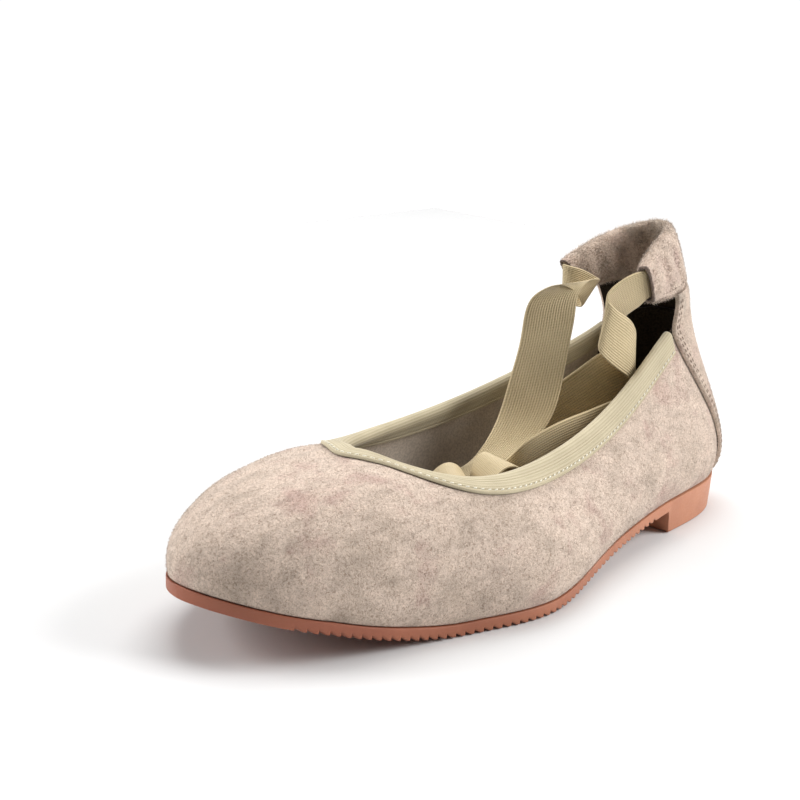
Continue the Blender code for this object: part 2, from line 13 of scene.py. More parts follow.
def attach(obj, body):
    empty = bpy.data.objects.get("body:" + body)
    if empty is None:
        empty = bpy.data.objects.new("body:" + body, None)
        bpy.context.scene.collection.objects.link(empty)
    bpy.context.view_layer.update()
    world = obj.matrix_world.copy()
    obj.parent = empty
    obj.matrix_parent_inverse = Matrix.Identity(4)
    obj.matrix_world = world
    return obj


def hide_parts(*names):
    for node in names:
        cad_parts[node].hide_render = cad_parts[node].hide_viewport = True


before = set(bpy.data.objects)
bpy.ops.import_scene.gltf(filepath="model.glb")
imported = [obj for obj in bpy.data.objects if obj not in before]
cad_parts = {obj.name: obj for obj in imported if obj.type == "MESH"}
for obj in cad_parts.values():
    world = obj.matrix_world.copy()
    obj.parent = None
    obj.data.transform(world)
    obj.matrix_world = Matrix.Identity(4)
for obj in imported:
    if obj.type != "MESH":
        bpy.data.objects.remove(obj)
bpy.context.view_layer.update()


# Upper: one piece of taupe suede with its lining, pulled over the last and cemented to the sole all
# round. The toe is closed and round, the throat is low, and the suede's nap is brushed into soft
# pinkish and greyish patches.
SOLE_LENGTH = 0.248
BALL_WIDTH = 0.080
HEEL_HEIGHT = 0.0130
SOLE_THICKNESS = 0.0040
TOE_SPRING = 0.0170
THROAT_HEIGHT = 0.0490
UPPER_WALL = 0.0018
GAP = 0.0003
PLACE_OF_MODEL = np.array([0.12328, 0.0035, 0.0])
LAST = [
    # foot_x, lateral, medial, rim_x, lateral, medial, rim_z, low_out, low_rise, high_out, high_drop
    (0.010, 0.00, 0.00, 0.064, -0.12, 0.12, 1.45, 0.028, 0.33, 0.013, 0.38),
    (0.032, 0.29, 0.33, 0.080, 0.09, 0.32, 1.45, 0.026, 0.32, 0.013, 0.37),
    (0.092, 0.53, 0.55, 0.133, 0.23, 0.43, 1.41, 0.028, 0.31, 0.014, 0.33),
    (0.190, 0.65, 0.65, 0.202, 0.34, 0.47, 1.28, 0.033, 0.28, 0.018, 0.29),
    (0.310, 0.75, 0.67, 0.321, 0.52, 0.66, 1.05, 0.041, 0.25, 0.022, 0.25),
    (0.440, 0.94, 0.73, 0.446, 0.67, 0.77, 0.90, 0.045, 0.235, 0.026, 0.20),
    (0.570, 1.16, 0.87, 0.563, 0.74, 0.79, 0.84, 0.039, 0.24, 0.038, 0.15),
    (0.690, 1.03, 0.98, 0.649, 0.64, 0.66, 0.855, 0.027, 0.26, 0.062, 0.075),
    (0.800, 0.88, 0.94, 0.703, 0.36, 0.39, 0.925, 0.020, 0.28, 0.091, 0.015),
    (0.900, 0.70, 0.76, 0.726, 0.20, 0.23, 0.98, 0.018, 0.285, 0.118, 0.012),
    (0.965, 0.40, 0.45, 0.735, 0.07, 0.09, 1.00, 0.016, 0.31, 0.151, 0.02),
    (0.996, -0.05, 0.05, 0.739, -0.01, 0.01, 1.00, 0.013, 0.31, 0.180, 0.02),
]
SOLE_LINE = [
    # x, seat, spring
    (0.00, 1.00, 0.00),
    (0.10, 1.02, 0.00),
    (0.22, 0.94, 0.00),
    (0.34, 0.58, 0.00),
    (0.46, 0.17, 0.00),
    (0.58, 0.00, 0.00),
    (0.70, 0.00, 0.00),
    (0.79, 0.00, 0.17),
    (0.88, 0.00, 0.52),
    (1.00, 0.00, 1.03),
]
TURNS = 2 * (len(LAST) - 1)
CREST_ROWS = 27
OUTER_STEPS = 92
INNER_STEPS = 26
# Rows of LAST to which the near-black painted shade inside the heel reaches on the lining, lateral
# and medial, and the row and rise that bound the same painted shade on the outer face, behind the
# heel panel.
LINING_PAINTED_SHADE_REACH = (2.9, 2.2)
RIM_PAINTED_SHADE = (2.35, 0.955)


def unit(vectors):
    """Each vector drawn to length one."""
    return vectors / np.linalg.norm(vectors, axis=-1, keepdims=True)


def hermite(start, end, start_slope, end_slope, t):
    """Cubic from start to end with the given slopes, at t from 0 to 1."""
    return (start * (1 + 2 * t) * (1 - t) ** 2 + end * t * t * (3 - 2 * t)
            + start_slope * t * (1 - t) ** 2 + end_slope * t * t * (t - 1))


def last_rows():
    """The rows of LAST as a closed run in metres: heel back, lateral side, toe, medial side."""
    table = np.array(LAST)
    half = BALL_WIDTH / 2
    handles = np.stack([table[:, 7] * SOLE_LENGTH, table[:, 8] * THROAT_HEIGHT,
                        table[:, 9] * SOLE_LENGTH, table[:, 10] * THROAT_HEIGHT], 1)
    foot_x = table[:, 0:1] * SOLE_LENGTH
    rim_x, rim_z = table[:, 3:4] * SOLE_LENGTH, table[:, 6:7] * THROAT_HEIGHT
    lateral = np.hstack([foot_x, table[:, 1:2] * half, rim_x, table[:, 4:5] * half, rim_z, handles])
    medial = np.hstack([foot_x, -table[:, 2:3] * half, rim_x, -table[:, 5:6] * half, rim_z, handles])
    return np.vstack([lateral, medial[-2:0:-1]])


def closed_curve(rows, place):
    """Smooth closed curve through the rows, read at places counted in rows."""
    count = len(rows)
    ring = 4 * np.eye(count) + np.roll(np.eye(count), 1, 0) + np.roll(np.eye(count), -1, 0)
    slope = np.linalg.solve(ring, 3 * (np.roll(rows, -1, 0) - np.roll(rows, 1, 0)))
    place = np.asarray(place, float) % count
    near = np.floor(place).astype(int) % count
    return hermite(rows[near], rows[(near + 1) % count], slope[near], slope[(near + 1) % count],
                   (place - np.floor(place))[..., None])


ROWS = last_rows()


def sole_top(x):
    """Height of the sole's top face at length x: heel seat, waist, flat ball and toe spring."""
    knots = np.array(SOLE_LINE)
    share, seat, spring = knots.T
    near = np.interp(np.clip(x / SOLE_LENGTH, 0, 1), share, np.arange(len(knots)))
    slope = np.gradient(knots[:, 1:], share, axis=0) * np.gradient(share)[:, None]
    slope[(seat == 0) & (spring == 0)] = 0
    index = np.minimum(np.floor(near).astype(int), len(knots) - 2)
    level = hermite(knots[index, 1:], knots[index + 1, 1:], slope[index], slope[index + 1],
                    (near - index)[..., None])
    return (SOLE_THICKNESS + level[..., 0] * (HEEL_HEIGHT - SOLE_THICKNESS)
            + level[..., 1] * TOE_SPRING)


def plan_normal(place):
    """Outward direction of the feather line in plan: its tangent turned a quarter."""
    step = 0.02
    place = np.asarray(place)
    along = unit((closed_curve(ROWS, place + step) - closed_curve(ROWS, place - step))[..., :2])
    return np.stack([-along[..., 1], along[..., 0], np.zeros(along.shape[:-1])], -1)


def last_handles(place):
    """The four points of the side's cubic, from the feather line to the topline."""
    row = closed_curve(ROWS, place)
    foot = np.stack([row[..., 0], row[..., 1], sole_top(row[..., 0]) + GAP], -1)
    rim = row[..., 2:5]
    out = plan_normal(place)
    up = np.array([0.0, 0.0, 1.0])
    low = foot + out * row[..., 5:6] + up * row[..., 6:7]
    high = rim + out * row[..., 7:8] - up * row[..., 8:9]
    return foot, low, high, rim


def last_surface(place, rise):
    """Point of the upper's outer face: a cubic from rise 0 at the feather line to 1 at the topline."""
    foot, low, high, rim = last_handles(place)
    t = np.asarray(rise, float)[..., None]
    return foot * (1 - t) ** 3 + 3 * low * t * (1 - t) ** 2 + 3 * high * t * t * (1 - t) + rim * t ** 3


def surface_normals(points, wrap=False):
    """Unit normals of a grid that runs round the shoe and then up it: cross of its two slopes."""
    if wrap:
        round_it = np.roll(points, -1, 0) - np.roll(points, 1, 0)
    else:
        round_it = np.gradient(points, axis=0)
    return unit(np.cross(np.gradient(points, axis=1), round_it))


def grid_quads(rows, columns, wrap_rows=False, wrap_columns=False):
    """Corner numbers of a grid's quads, as an array of four columns."""
    index = np.arange(rows * columns).reshape(rows, columns)
    if wrap_rows:
        index = np.vstack([index, index[:1]])
    if wrap_columns:
        index = np.hstack([index, index[:, :1]])
    return np.stack([index[:-1, :-1], index[:-1, 1:], index[1:, 1:], index[1:, :-1]], -1).reshape(-1, 4)


def piece_from(name, points, quads, finishes, which=None, uv=None, caps=()):
    """An object from points, quads and capping rings, moved to the model's place.

    which numbers each quad's finish, and uv gives each point its place on the cloth in metres.
    """
    points = np.asarray(points, float).reshape(-1, 3) - PLACE_OF_MODEL
    corners = np.concatenate([quads.ravel()] + [np.asarray(cap) for cap in caps])
    sides = np.concatenate([np.full(len(quads), quads.shape[1]), [len(cap) for cap in caps]]).astype(int)
    mesh = bpy.data.meshes.new(name)
    mesh.vertices.add(len(points))
    mesh.vertices.foreach_set("co", points.ravel())
    mesh.loops.add(len(corners))
    mesh.loops.foreach_set("vertex_index", corners.astype(np.int32))
    mesh.polygons.add(len(sides))
    mesh.polygons.foreach_set("loop_start", (np.cumsum(sides) - sides).astype(np.int32))
    mesh.polygons.foreach_set("loop_total", sides.astype(np.int32))
    for finish in finishes:
        mesh.materials.append(finish)
    if which is not None:
        which = np.append(which, np.zeros(len(caps))).astype(np.int32)
        mesh.polygons.foreach_set("material_index", which)
    if uv is not None:
        layer = mesh.uv_layers.new(name="cloth")
        layer.data.foreach_set("uv", np.asarray(uv, float).reshape(-1, 2)[corners].ravel())
    mesh.update(calc_edges=True)
    mesh.shade_smooth()
    piece = bpy.data.objects.new(name, mesh)
    bpy.context.scene.collection.objects.link(piece)
    return piece


def add_node(tree, kind, inputs=(), **settings):
    """A shader node with its settings, and values or links for its numbered or named inputs."""
    node = tree.nodes.new(kind)
    for name, value in settings.items():
        setattr(node, name, value)
    for name, value in dict(inputs).items():
        if isinstance(value, bpy.types.NodeSocket):
            tree.links.new(value, node.inputs[name])
        else:
            node.inputs[name].default_value = value
    return node


def ramp_node(tree, value, stops):
    """A colour ramp through stops of place and linear colour."""
    ramp = add_node(tree, "ShaderNodeValToRGB", {0: value})
    elements = ramp.color_ramp.elements
    while len(elements) < len(stops):
        elements.new(0.5)
    for element, (place, colour) in zip(elements, stops):
        element.position = place
        element.color = (*colour, 1.0)
    return ramp.outputs["Color"]


def noise_node(tree, spot, scale, detail, roughness=0.5, distortion=0.0):
    """The grey value of a noise texture read at spot."""
    return add_node(tree, "ShaderNodeTexNoise", {"Vector": spot, "Scale": scale, "Detail": detail,
                                                 "Roughness": roughness,
                                                 "Distortion": distortion}).outputs["Fac"]


def tint_node(tree, tone, tint, share=1.0):
    """A colour multiplied by a tint, by a share of the tint's strength."""
    return add_node(tree, "ShaderNodeMix", {0: share, 6: tone, 7: tint}, data_type="RGBA",
                    blend_type="MULTIPLY").outputs[2]


def bump_node(tree, height, strength, distance, under=None):
    """The normal bumped by a height, distance metres high at 1, on top of the bump under it."""
    inputs = {"Height": height, "Strength": strength, "Distance": distance}
    if under is not None:
        inputs["Normal"] = under
    return add_node(tree, "ShaderNodeBump", inputs).outputs[0]


def start_finish(name, roughness, specular=0.3, sheen=0.0, sheen_roughness=0.5):
    """A material with its Principled shader, whose constant sockets are set here."""
    finish = bpy.data.materials.new(name)
    finish.use_nodes = True
    shader = finish.node_tree.nodes["Principled BSDF"]
    shader.inputs["Roughness"].default_value = roughness
    shader.inputs["Specular IOR Level"].default_value = specular
    shader.inputs["Sheen Weight"].default_value = sheen
    shader.inputs["Sheen Roughness"].default_value = sheen_roughness
    return finish, finish.node_tree, shader


FIBRE_SHADE = (0.60, 0.55, 0.51)
WHITE = (1.0, 1.0, 1.0)


def suede_finish(name, light, rosy, grey, dark=FIBRE_SHADE):
    """Napped suede: broad brushed patches of three tones, smudges, and fibres in colour and bump."""
    finish, tree, shader = start_finish(name, 0.95, 0.12, 0.28, 0.45)
    shader.inputs["Sheen Tint"].default_value = (0.98, 0.92, 0.86, 1.0)
    spot = add_node(tree, "ShaderNodeTexCoord").outputs["Object"]
    patches = noise_node(tree, spot, 52.0, 5.0, 0.6, 0.4)
    tone = ramp_node(tree, patches, [(0.33, grey), (0.47, light), (0.53, light), (0.66, rosy)])
    brushed = add_node(tree, "ShaderNodeMapping", {"Vector": spot, "Rotation": (0.5, 0.4, 0.7),
                                                   "Scale": (90.0, 330.0, 170.0)})
    smudge = noise_node(tree, brushed.outputs[0], 1.0, 3.0, 0.6)
    smudged = ramp_node(tree, smudge, [(0.30, (0.70, 0.69, 0.68)), (0.48, (0.98, 0.98, 0.98)),
                                       (0.70, (1.10, 1.09, 1.08))])
    fibres = noise_node(tree, spot, 1500.0, 3.0, 0.7, 1.2)
    fleck = ramp_node(tree, fibres, [(0.34, dark), (0.52, WHITE), (0.72, (1.22, 1.21, 1.20))])
    colour = tint_node(tree, tint_node(tree, tone, smudged, 0.6), fleck)
    tree.links.new(colour, shader.inputs["Base Color"])
    tufts = noise_node(tree, spot, 520.0, 4.0, 0.65, 0.8)
    coarse = bump_node(tree, smudge, 0.15, 0.0008)
    middle = bump_node(tree, tufts, 0.7, 0.0004, coarse)
    tree.links.new(bump_node(tree, fibres, 0.8, 0.0002, middle), shader.inputs["Normal"])
    return finish


def lining_finish(name, colour, shade):
    """Fine lining: a flat napped face with small, close speckles and a slight bump."""
    finish, tree, shader = start_finish(name, 0.9, 0.15, 0.1)
    spot = add_node(tree, "ShaderNodeTexCoord").outputs["Object"]
    speckle = noise_node(tree, spot, 1300.0, 2.0)
    tone = ramp_node(tree, speckle, [(0.35, shade), (0.62, colour)])
    worn = ramp_node(tree, noise_node(tree, spot, 60.0, 3.0),
                     [(0.35, (0.86, 0.85, 0.84)), (0.65, (1.05, 1.05, 1.05))])
    tree.links.new(tint_node(tree, tone, worn), shader.inputs["Base Color"])
    tree.links.new(bump_node(tree, speckle, 0.3, 0.0002), shader.inputs["Normal"])
    return finish


SUEDE_LIGHT = (0.62, 0.505, 0.42)
SUEDE_ROSY = (0.50, 0.365, 0.31)
SUEDE_GREY = (0.505, 0.41, 0.335)
upper_suede = suede_finish("upper_suede", SUEDE_LIGHT, SUEDE_ROSY, SUEDE_GREY)
foot_lining = lining_finish("foot_lining", (0.64, 0.55, 0.46), (0.49, 0.42, 0.35))
# The near-black lining colour is painted shade: the shade inside the heel, on the panel's back and in
# the gap behind the panel's top.
heel_painted_shade = lining_finish("heel_painted_shade", (0.050, 0.038, 0.026), (0.026, 0.019, 0.013))

# Soft bumps and hollows of the worn-in suede. place is counted in rows of LAST.
UPPER_CREASES = [
    # place, rise, length, height, slant, lift
    (3.2, 0.45, 0.35, 0.10, 0.6, -0.0004),
    (3.8, 0.60, 0.25, 0.07, 0.8, -0.0003),
    (4.5, 0.35, 0.40, 0.12, 0.3, 0.0004),
    (5.4, 0.62, 0.30, 0.08, -0.4, -0.0004),
    (6.2, 0.40, 0.35, 0.14, 0.2, 0.0004),
    (7.3, 0.50, 0.30, 0.12, 0.5, -0.0003),
    (8.5, 0.35, 0.30, 0.10, 0.0, 0.0003),
    (9.6, 0.55, 0.35, 0.10, 0.4, -0.0004),
    (12.4, 0.50, 0.35, 0.12, -0.3, 0.0003),
    (14.6, 0.45, 0.35, 0.12, 0.5, -0.0004),
    (16.2, 0.55, 0.30, 0.10, -0.4, 0.0003),
    (17.6, 0.40, 0.35, 0.12, 0.3, -0.0003),
]


def upper_relief(place, rise):
    """How far the suede stands off the last: the creases, each a slanted bell, and a slow ripple."""
    lift = 0.00012 * np.sin(place * 4.1 + rise * 5.0) * np.sin(rise * 9.0 + place * 1.7)
    for middle, level, length, height, slant, amount in UPPER_CREASES:
        along = (place - middle + TURNS / 2) % TURNS - TURNS / 2
        up = rise - level - slant * along * 0.15
        lift = lift + amount * np.exp(-(along / length) ** 2 - (up / height) ** 2)
    return lift * np.sin(math.pi * np.clip(rise, 0, 1)) ** 0.5


def build_upper():
    """The shell as one closed skin: up the outer face, over the topline, and down the lining."""
    around, up, down = TURNS * CREST_ROWS, OUTER_STEPS, INNER_STEPS
    place = np.arange(around)[:, None] * TURNS / around
    outer_rise = np.linspace(0, 1, up)[None, :]
    inner_rise = np.linspace(1, 0, down)[None, :]
    place_out, outer_rise = np.broadcast_arrays(place, outer_rise)
    place_in, inner_rise = np.broadcast_arrays(place, inner_rise)
    face = last_surface(place_out, outer_rise)
    outer = face + surface_normals(face, True) * upper_relief(place_out, outer_rise)[..., None]
    back = last_surface(place_in, inner_rise)
    inner = back + surface_normals(back, True) * UPPER_WALL
    skin = np.concatenate([outer, inner], 1)
    columns = up + down
    which = np.zeros((around, columns), int)
    which[:, up:] = 1
    # Finish 2, the near-black lining colour, is painted shade: inside the heel, and on the outer face's
    # rim behind the heel panel.
    signed = (place_in + TURNS / 2) % TURNS - TURNS / 2
    edge = np.where(signed > 0, *LINING_PAINTED_SHADE_REACH) + 0.5 * inner_rise
    which[:, up:][np.abs(signed) < edge] = 2
    behind_panel = np.abs((place_out + TURNS / 2) % TURNS - TURNS / 2) < RIM_PAINTED_SHADE[0]
    which[:, :up][behind_panel & (outer_rise > RIM_PAINTED_SHADE[1])] = 2
    return piece_from("upper_shell", skin, grid_quads(around, columns, True, True),
                      [upper_suede, foot_lining, heel_painted_shade], which.ravel())


upper = build_upper()
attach(upper, "root")
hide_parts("upper")


NAP_LENGTH = 0.0009
UPPER_FIBRES = 46000


def add_nap(name, face, count, length, thick, seed, finish, side=1.0):
    """Raised fibres: thin three-sided spikes rooted evenly over a grid's faces, each leaning from the
    normal along the brushed direction by its own seeded amount. side -1 turns them to the back."""
    chance = np.random.default_rng(seed)
    corner = face[:-1, :-1]
    ahead, beside = face[1:, :-1] - corner, face[:-1, 1:] - corner
    area = np.linalg.norm(np.cross(ahead, beside), axis=-1).ravel()
    cell = chance.choice(area.size, count, p=area / area.sum())
    corner, ahead, beside = (part.reshape(-1, 3)[cell] for part in (corner, ahead, beside))
    up = (surface_normals(face) * side)[:-1, :-1].reshape(-1, 3)[cell]
    root = corner + ahead * chance.random((count, 1)) + beside * chance.random((count, 1))
    ahead = unit(ahead)
    beside = np.cross(up, ahead)
    lean = (up * 0.6 + ahead * (0.35 + 0.55 * chance.standard_normal((count, 1)))
            + beside * 0.65 * chance.standard_normal((count, 1)))
    tip = root + unit(lean) * length * (0.4 + 0.8 * chance.random((count, 1)))
    turn = np.array([0.0, 2.1, 4.2])[None, :, None]
    foot = (root - up * 0.0001)[:, None] + thick / 2 * (ahead[:, None] * np.cos(turn)
                                                        + beside[:, None] * np.sin(turn))
    points = np.concatenate([foot, tip[:, None]], 1)
    spike = np.array([[0, 1, 3], [1, 2, 3], [2, 0, 3], [0, 2, 1]])
    faces = (spike[None] + 4 * np.arange(count)[:, None, None]).reshape(-1, 3)
    nap = piece_from(name, points, faces, [finish])
    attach(nap, "root")


nap_place, nap_rise = np.meshgrid(np.linspace(0, TURNS, TURNS * 16), np.linspace(0.02, 0.97, 60),
                                  indexing="ij")
nap_face = last_surface(nap_place, nap_rise)
nap_face = nap_face + surface_normals(nap_face) * upper_relief(nap_place, nap_rise)[..., None]
add_nap("upper_nap", nap_face, UPPER_FIBRES, NAP_LENGTH, 0.00012, 5, upper_suede)


# Heel panel: a second layer of the same suede over the back, lasted in at the sole and running up to
# the casing. Its cut edges stand 1.4 mm proud of the quarters, and above their topline it is free.
PANEL_WALL = 0.0014
BACK_HEIGHT = 0.1045
PANEL_EDGE = [
    # rise, lateral, medial
    (0.00, 1.25, 3.00),
    (0.35, 1.62, 2.85),
    (0.70, 2.02, 2.62),
    (1.00, 2.35, 2.50),
]
CASING = [
    # low_x, low_y, low_z, high_x, high_y, high_z
    (0.220, -0.45, 0.775, 0.266, -0.43, 0.885),
    (0.170, -0.46, 0.780, 0.207, -0.44, 0.930),
    (0.118, -0.40, 0.788, 0.146, -0.38, 0.970),
    (0.090, -0.15, 0.798, 0.116, -0.16, 1.000),
    (0.107, 0.09, 0.790, 0.138, 0.03, 0.985),
    (0.155, 0.22, 0.775, 0.186, 0.13, 0.955),
    (0.226, 0.29, 0.778, 0.246, 0.28, 0.905),
]
PANEL_IN_CASING = (1.00, 5.05)
PANEL_ROUNDING = 0.0007
PANEL_FLUSH = 0.0018
PANEL_STATIONS = 150
PANEL_LOW_STEPS = 70
PANEL_HIGH_STEPS = 36
PANEL_FIBRES = 18000


def open_curve(rows, place):
    """Smooth open curve through the rows, read at places counted in rows, with free ends."""
    rows = np.asarray(rows, float)
    count = len(rows)
    chain = 4 * np.eye(count) + np.eye(count, k=1) + np.eye(count, k=-1)
    chain[0, 0] = chain[-1, -1] = 2
    rise = np.zeros_like(rows)
    rise[1:-1] = rows[2:] - rows[:-2]
    rise[0] = rows[1] - rows[0]
    rise[-1] = rows[-1] - rows[-2]
    slope = np.linalg.solve(chain, 3 * rise)
    place = np.clip(np.asarray(place, float), 0, count - 1)
    near = np.minimum(np.floor(place).astype(int), count - 2)
    return hermite(rows[near], rows[near + 1], slope[near], slope[near + 1],
                   (place - near)[..., None])


def casing_edge(place, height):
    """Point on the casing's middle face: place in rows of CASING, height 0 to 1 up its face."""
    rows = np.array(CASING) * np.tile([SOLE_LENGTH, BALL_WIDTH / 2, BACK_HEIGHT], 2)
    row = open_curve(rows, place)
    t = np.asarray(height, float)[..., None]
    return row[..., :3] * (1 - t) + row[..., 3:] * t


def panel_face(across, level):
    """Point under the panel: across 0 at its medial edge to 1 at its lateral edge, level 0 at the
    sole, 1 at the quarters' topline and 2 at the casing. Above 1 it is a cubic to the casing."""
    rise, lateral, medial = np.array(PANEL_EDGE).T
    low_level = np.clip(level, 0, 1)
    place = (np.interp(low_level, rise, lateral) * across
             - np.interp(low_level, rise, medial) * (1 - across))
    low = last_surface(place, low_level)
    _, _, high, rim = last_handles(place)
    seam_place = PANEL_IN_CASING[0] + (PANEL_IN_CASING[1] - PANEL_IN_CASING[0]) * across
    low_edge = 0.0 * across
    seam = casing_edge(seam_place, low_edge)
    climb = casing_edge(seam_place, low_edge + 1.0) - seam
    beside = casing_edge(seam_place + 0.1, low_edge) - casing_edge(seam_place - 0.1, low_edge)
    seam = seam + unit(np.cross(climb, beside)) * PANEL_FLUSH
    reach = np.linalg.norm(seam - rim, axis=-1, keepdims=True)
    start = unit(rim - high) * reach
    end = unit(climb) * reach
    t = np.clip(level - 1, 0, 1)[..., None]
    neck = hermite(rim, seam, start, end, t)
    return np.where(level[..., None] <= 1, low, neck)


def run_along(points):
    """Distance along each line of a grid, from its first row, as the sum of its steps."""
    step = np.linalg.norm(np.diff(points, axis=0), axis=-1)
    return np.concatenate([0 * step[:1], np.cumsum(step, 0)])


def build_heel_panel():
    """The panel as one closed skin: its outer face rounds down to the cut edges, and the inner face
    lies on the quarters."""
    turn = np.linspace(0, math.pi, PANEL_STATIONS)
    across = 0.5 - 0.5 * np.sign(np.cos(turn)) * np.abs(np.cos(turn)) ** 0.75
    level = np.concatenate([np.linspace(0, 1, PANEL_LOW_STEPS)[:-1],
                            np.linspace(1, 2, PANEL_HIGH_STEPS)])
    across, level = np.meshgrid(across, level, indexing="ij")
    under = panel_face(across, level)
    normal = surface_normals(under)
    run = run_along(under)
    to_edge = np.minimum(run, run[-1:] - run)
    share = np.clip(to_edge / PANEL_ROUNDING, 0, 1)
    round_off = np.sqrt(1 - (1 - share) ** 2)
    ripple = 0.00012 * np.sin(run * 900 + level * 4) * np.exp(-to_edge / 0.003)
    ripple = ripple + 0.00015 * np.sin(across * 11 + level * 3.1) * np.sin(level * 5)
    outer = under + normal * (GAP + (PANEL_WALL + ripple) * round_off)[..., None]
    inner = under + normal * GAP
    count, high = level.shape
    points = np.concatenate([outer.reshape(-1, 3), inner.reshape(-1, 3)])
    front = grid_quads(count, high)
    behind = front[:, ::-1] + count * high
    bottom = np.arange(count) * high
    side = np.arange(high)
    quads = [front, behind]
    for line in (bottom, (bottom + high - 1)[::-1], side[::-1], side + (count - 1) * high):
        under_line = line + count * high
        quads.append(np.stack([line[:-1], line[1:], under_line[1:], under_line[:-1]], 1))
    quads = np.concatenate(quads)
    # The panel's back face takes the near-black lining colour as painted shade.
    which = np.zeros(len(quads))
    which[len(front):2 * len(front)] = 1
    return piece_from("heel_panel_suede", points, quads, [panel_suede, heel_painted_shade], which)


panel_suede = suede_finish("panel_suede", (0.585, 0.475, 0.39), (0.52, 0.395, 0.335),
                           (0.46, 0.385, 0.315))
heel_panel = build_heel_panel()
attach(heel_panel, "root")
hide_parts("heel_panel")
nap_across, nap_level = np.meshgrid(np.linspace(0.0, 1.0, 90), np.linspace(0.02, 2.0, 120),
                                    indexing="ij")
nap_face = panel_face(nap_across, nap_level)
nap_face = nap_face + surface_normals(nap_face) * (GAP + PANEL_WALL - 0.0001)
add_nap("panel_nap", nap_face, PANEL_FIBRES, NAP_LENGTH, 0.00013, 7, panel_suede)


# Casing: the top of the heel panel, cut wider as two wings, folded inward over the ribbon and sewn
# down with two rows, so that it makes a tunnel. Its ends and lower edge are cut raw and fluffy.
CASING_DEPTH = 0.0052
CASING_WALL = 0.0013
FLUFF_LENGTH = 0.0016
FLUFF_THICKNESS = 0.00015


def casing_along(place):
    """Direction of the casing's middle line, from the medial wing to the lateral one."""
    step = 0.05
    ahead, behind = np.minimum(place + step, len(CASING) - 1), np.maximum(place - step, 0)
    return casing_edge(ahead, 0.0 * place + 0.5) - casing_edge(behind, 0.0 * place + 0.5)


def casing_ring(place, turn, inset):
    """Point of the tunnel's skin: a squarish loop round the middle line, inset by the wall."""
    low, high = casing_edge(place, 0.0 * place), casing_edge(place, 0.0 * place + 1.0)
    middle, up = (low + high) / 2, (high - low) / 2
    half = np.linalg.norm(up, axis=-1, keepdims=True)
    up = up / half
    outward = unit(np.cross(up, casing_along(place)))
    squareness = np.where(np.cos(turn) > 0, 0.75, 0.45)[..., None]
    height = np.sign(np.cos(turn))[..., None] * np.abs(np.cos(turn))[..., None] ** squareness
    depth = np.sign(np.sin(turn))[..., None] * np.abs(np.sin(turn))[..., None] ** 0.6
    deep = CASING_DEPTH / 2 - inset[..., None]
    return (middle + up * height * (half - inset[..., None])
            + outward * (depth * deep + CASING_DEPTH / 2 - PANEL_WALL))


def build_casing():
    """The tunnel as a ring of skin: along the outside, round the raw end, back inside, and round."""
    stations, ring, lips = 150, 84, 5
    place = np.linspace(0, len(CASING) - 1, stations)
    wall = CASING_WALL / 2
    bend = np.linspace(0, math.pi, lips + 2)[1:-1]
    lip = (1 - np.cos(bend)) * wall
    places = np.concatenate([place, np.full(lips, place[-1]), place[::-1], np.full(lips, place[0])])
    insets = np.concatenate([np.zeros(stations), lip, np.full(stations, CASING_WALL), lip[::-1]])
    bulges = np.concatenate([np.zeros(stations), np.sin(bend), np.zeros(stations), -np.sin(bend)])
    turn = np.linspace(0, 2 * math.pi, ring, endpoint=False)
    places, turns = np.meshgrid(places, turn, indexing="ij")
    insets = np.broadcast_to(insets[:, None], places.shape)
    points = casing_ring(places, turns, insets)
    along = unit(casing_along(places))
    fray = 0.00018 * np.sin(turns * 23 + places) + 0.00015 * np.sin(turns * 41 + 1.3)
    points = points + along * (bulges[:, None] * wall)[..., None]
    ends = np.exp(-np.minimum(places, len(CASING) - 1 - places) / 0.06)
    points = points + along * (fray * ends)[..., None]
    pucker = 0.00022 * np.sin(places * 9 + 2 * np.sin(turns)) * np.cos(turns * 2)
    outward = np.where(insets > wall, -1.0, 1.0)
    inner_dir = np.cross(along, np.array([0.0, 0.0, 1.0]))
    points = points + inner_dir * (pucker * outward)[..., None]
    rows = 2 * (stations + lips)
    quads = grid_quads(rows, ring, True, True)[:, ::-1]
    which = np.zeros((rows, ring), int)
    which[stations - 1:stations + lips] = 1
    which[2 * stations + lips - 1:] = 1
    return piece_from("casing_fold", points, quads, [casing_suede, raw_suede], which.ravel())


casing_suede = suede_finish("casing_suede", (0.61, 0.495, 0.41), (0.54, 0.41, 0.35),
                            (0.50, 0.42, 0.345))
raw_suede = suede_finish("raw_suede_edge", (0.24, 0.185, 0.155), (0.20, 0.15, 0.125),
                         (0.19, 0.15, 0.13), (0.5, 0.48, 0.46))
casing = build_casing()
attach(casing, "root")
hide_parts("casing")
# A lighter copy of the casing suede for the fibres on the casing's inside and lower edge: painted light,
# standing in for the light that falls on the inside of the far wing.
inner_painted_light_suede = suede_finish("casing_inner_painted_light_suede", (0.76, 0.63, 0.53), (0.66, 0.52, 0.44),
                           (0.62, 0.52, 0.43))
for nap_name, nap_from, nap_to, nap_count, nap_length, nap_suede in (
        ("casing_fluff", 2.6, 6.6, 15000, FLUFF_LENGTH, inner_painted_light_suede),
        ("casing_nap", 0.3, 2.6, 7000, NAP_LENGTH, casing_suede)):
    nap_place, nap_turn = np.meshgrid(np.linspace(0, len(CASING) - 1, 120),
                                      np.linspace(nap_from, nap_to, 50), indexing="ij")
    nap_face = casing_ring(nap_place, nap_turn, 0 * nap_place)
    add_nap(nap_name, nap_face, nap_count, nap_length, FLUFF_THICKNESS, 9, nap_suede, -1.0)


# Binding: khaki ribbed elastic tape folded over the topline from one edge of the heel panel round to
# the other, and sewn through with a pale thread near its lower edge.
BINDING_WALL = 0.0008
BINDING_WIDTH = 0.0065
BINDING_RIBS = 7
BINDING_STATIONS = 420
# Rows of LAST between the heel panel's edge and the binding's end.
BINDING_CLEAR = 0.12
BINDING_SEAM = 0.0013
BINDING_ROUNDING = 0.0004
RIB_RELIEF = 0.00012
GROOVE_DEPTH = 0.00025


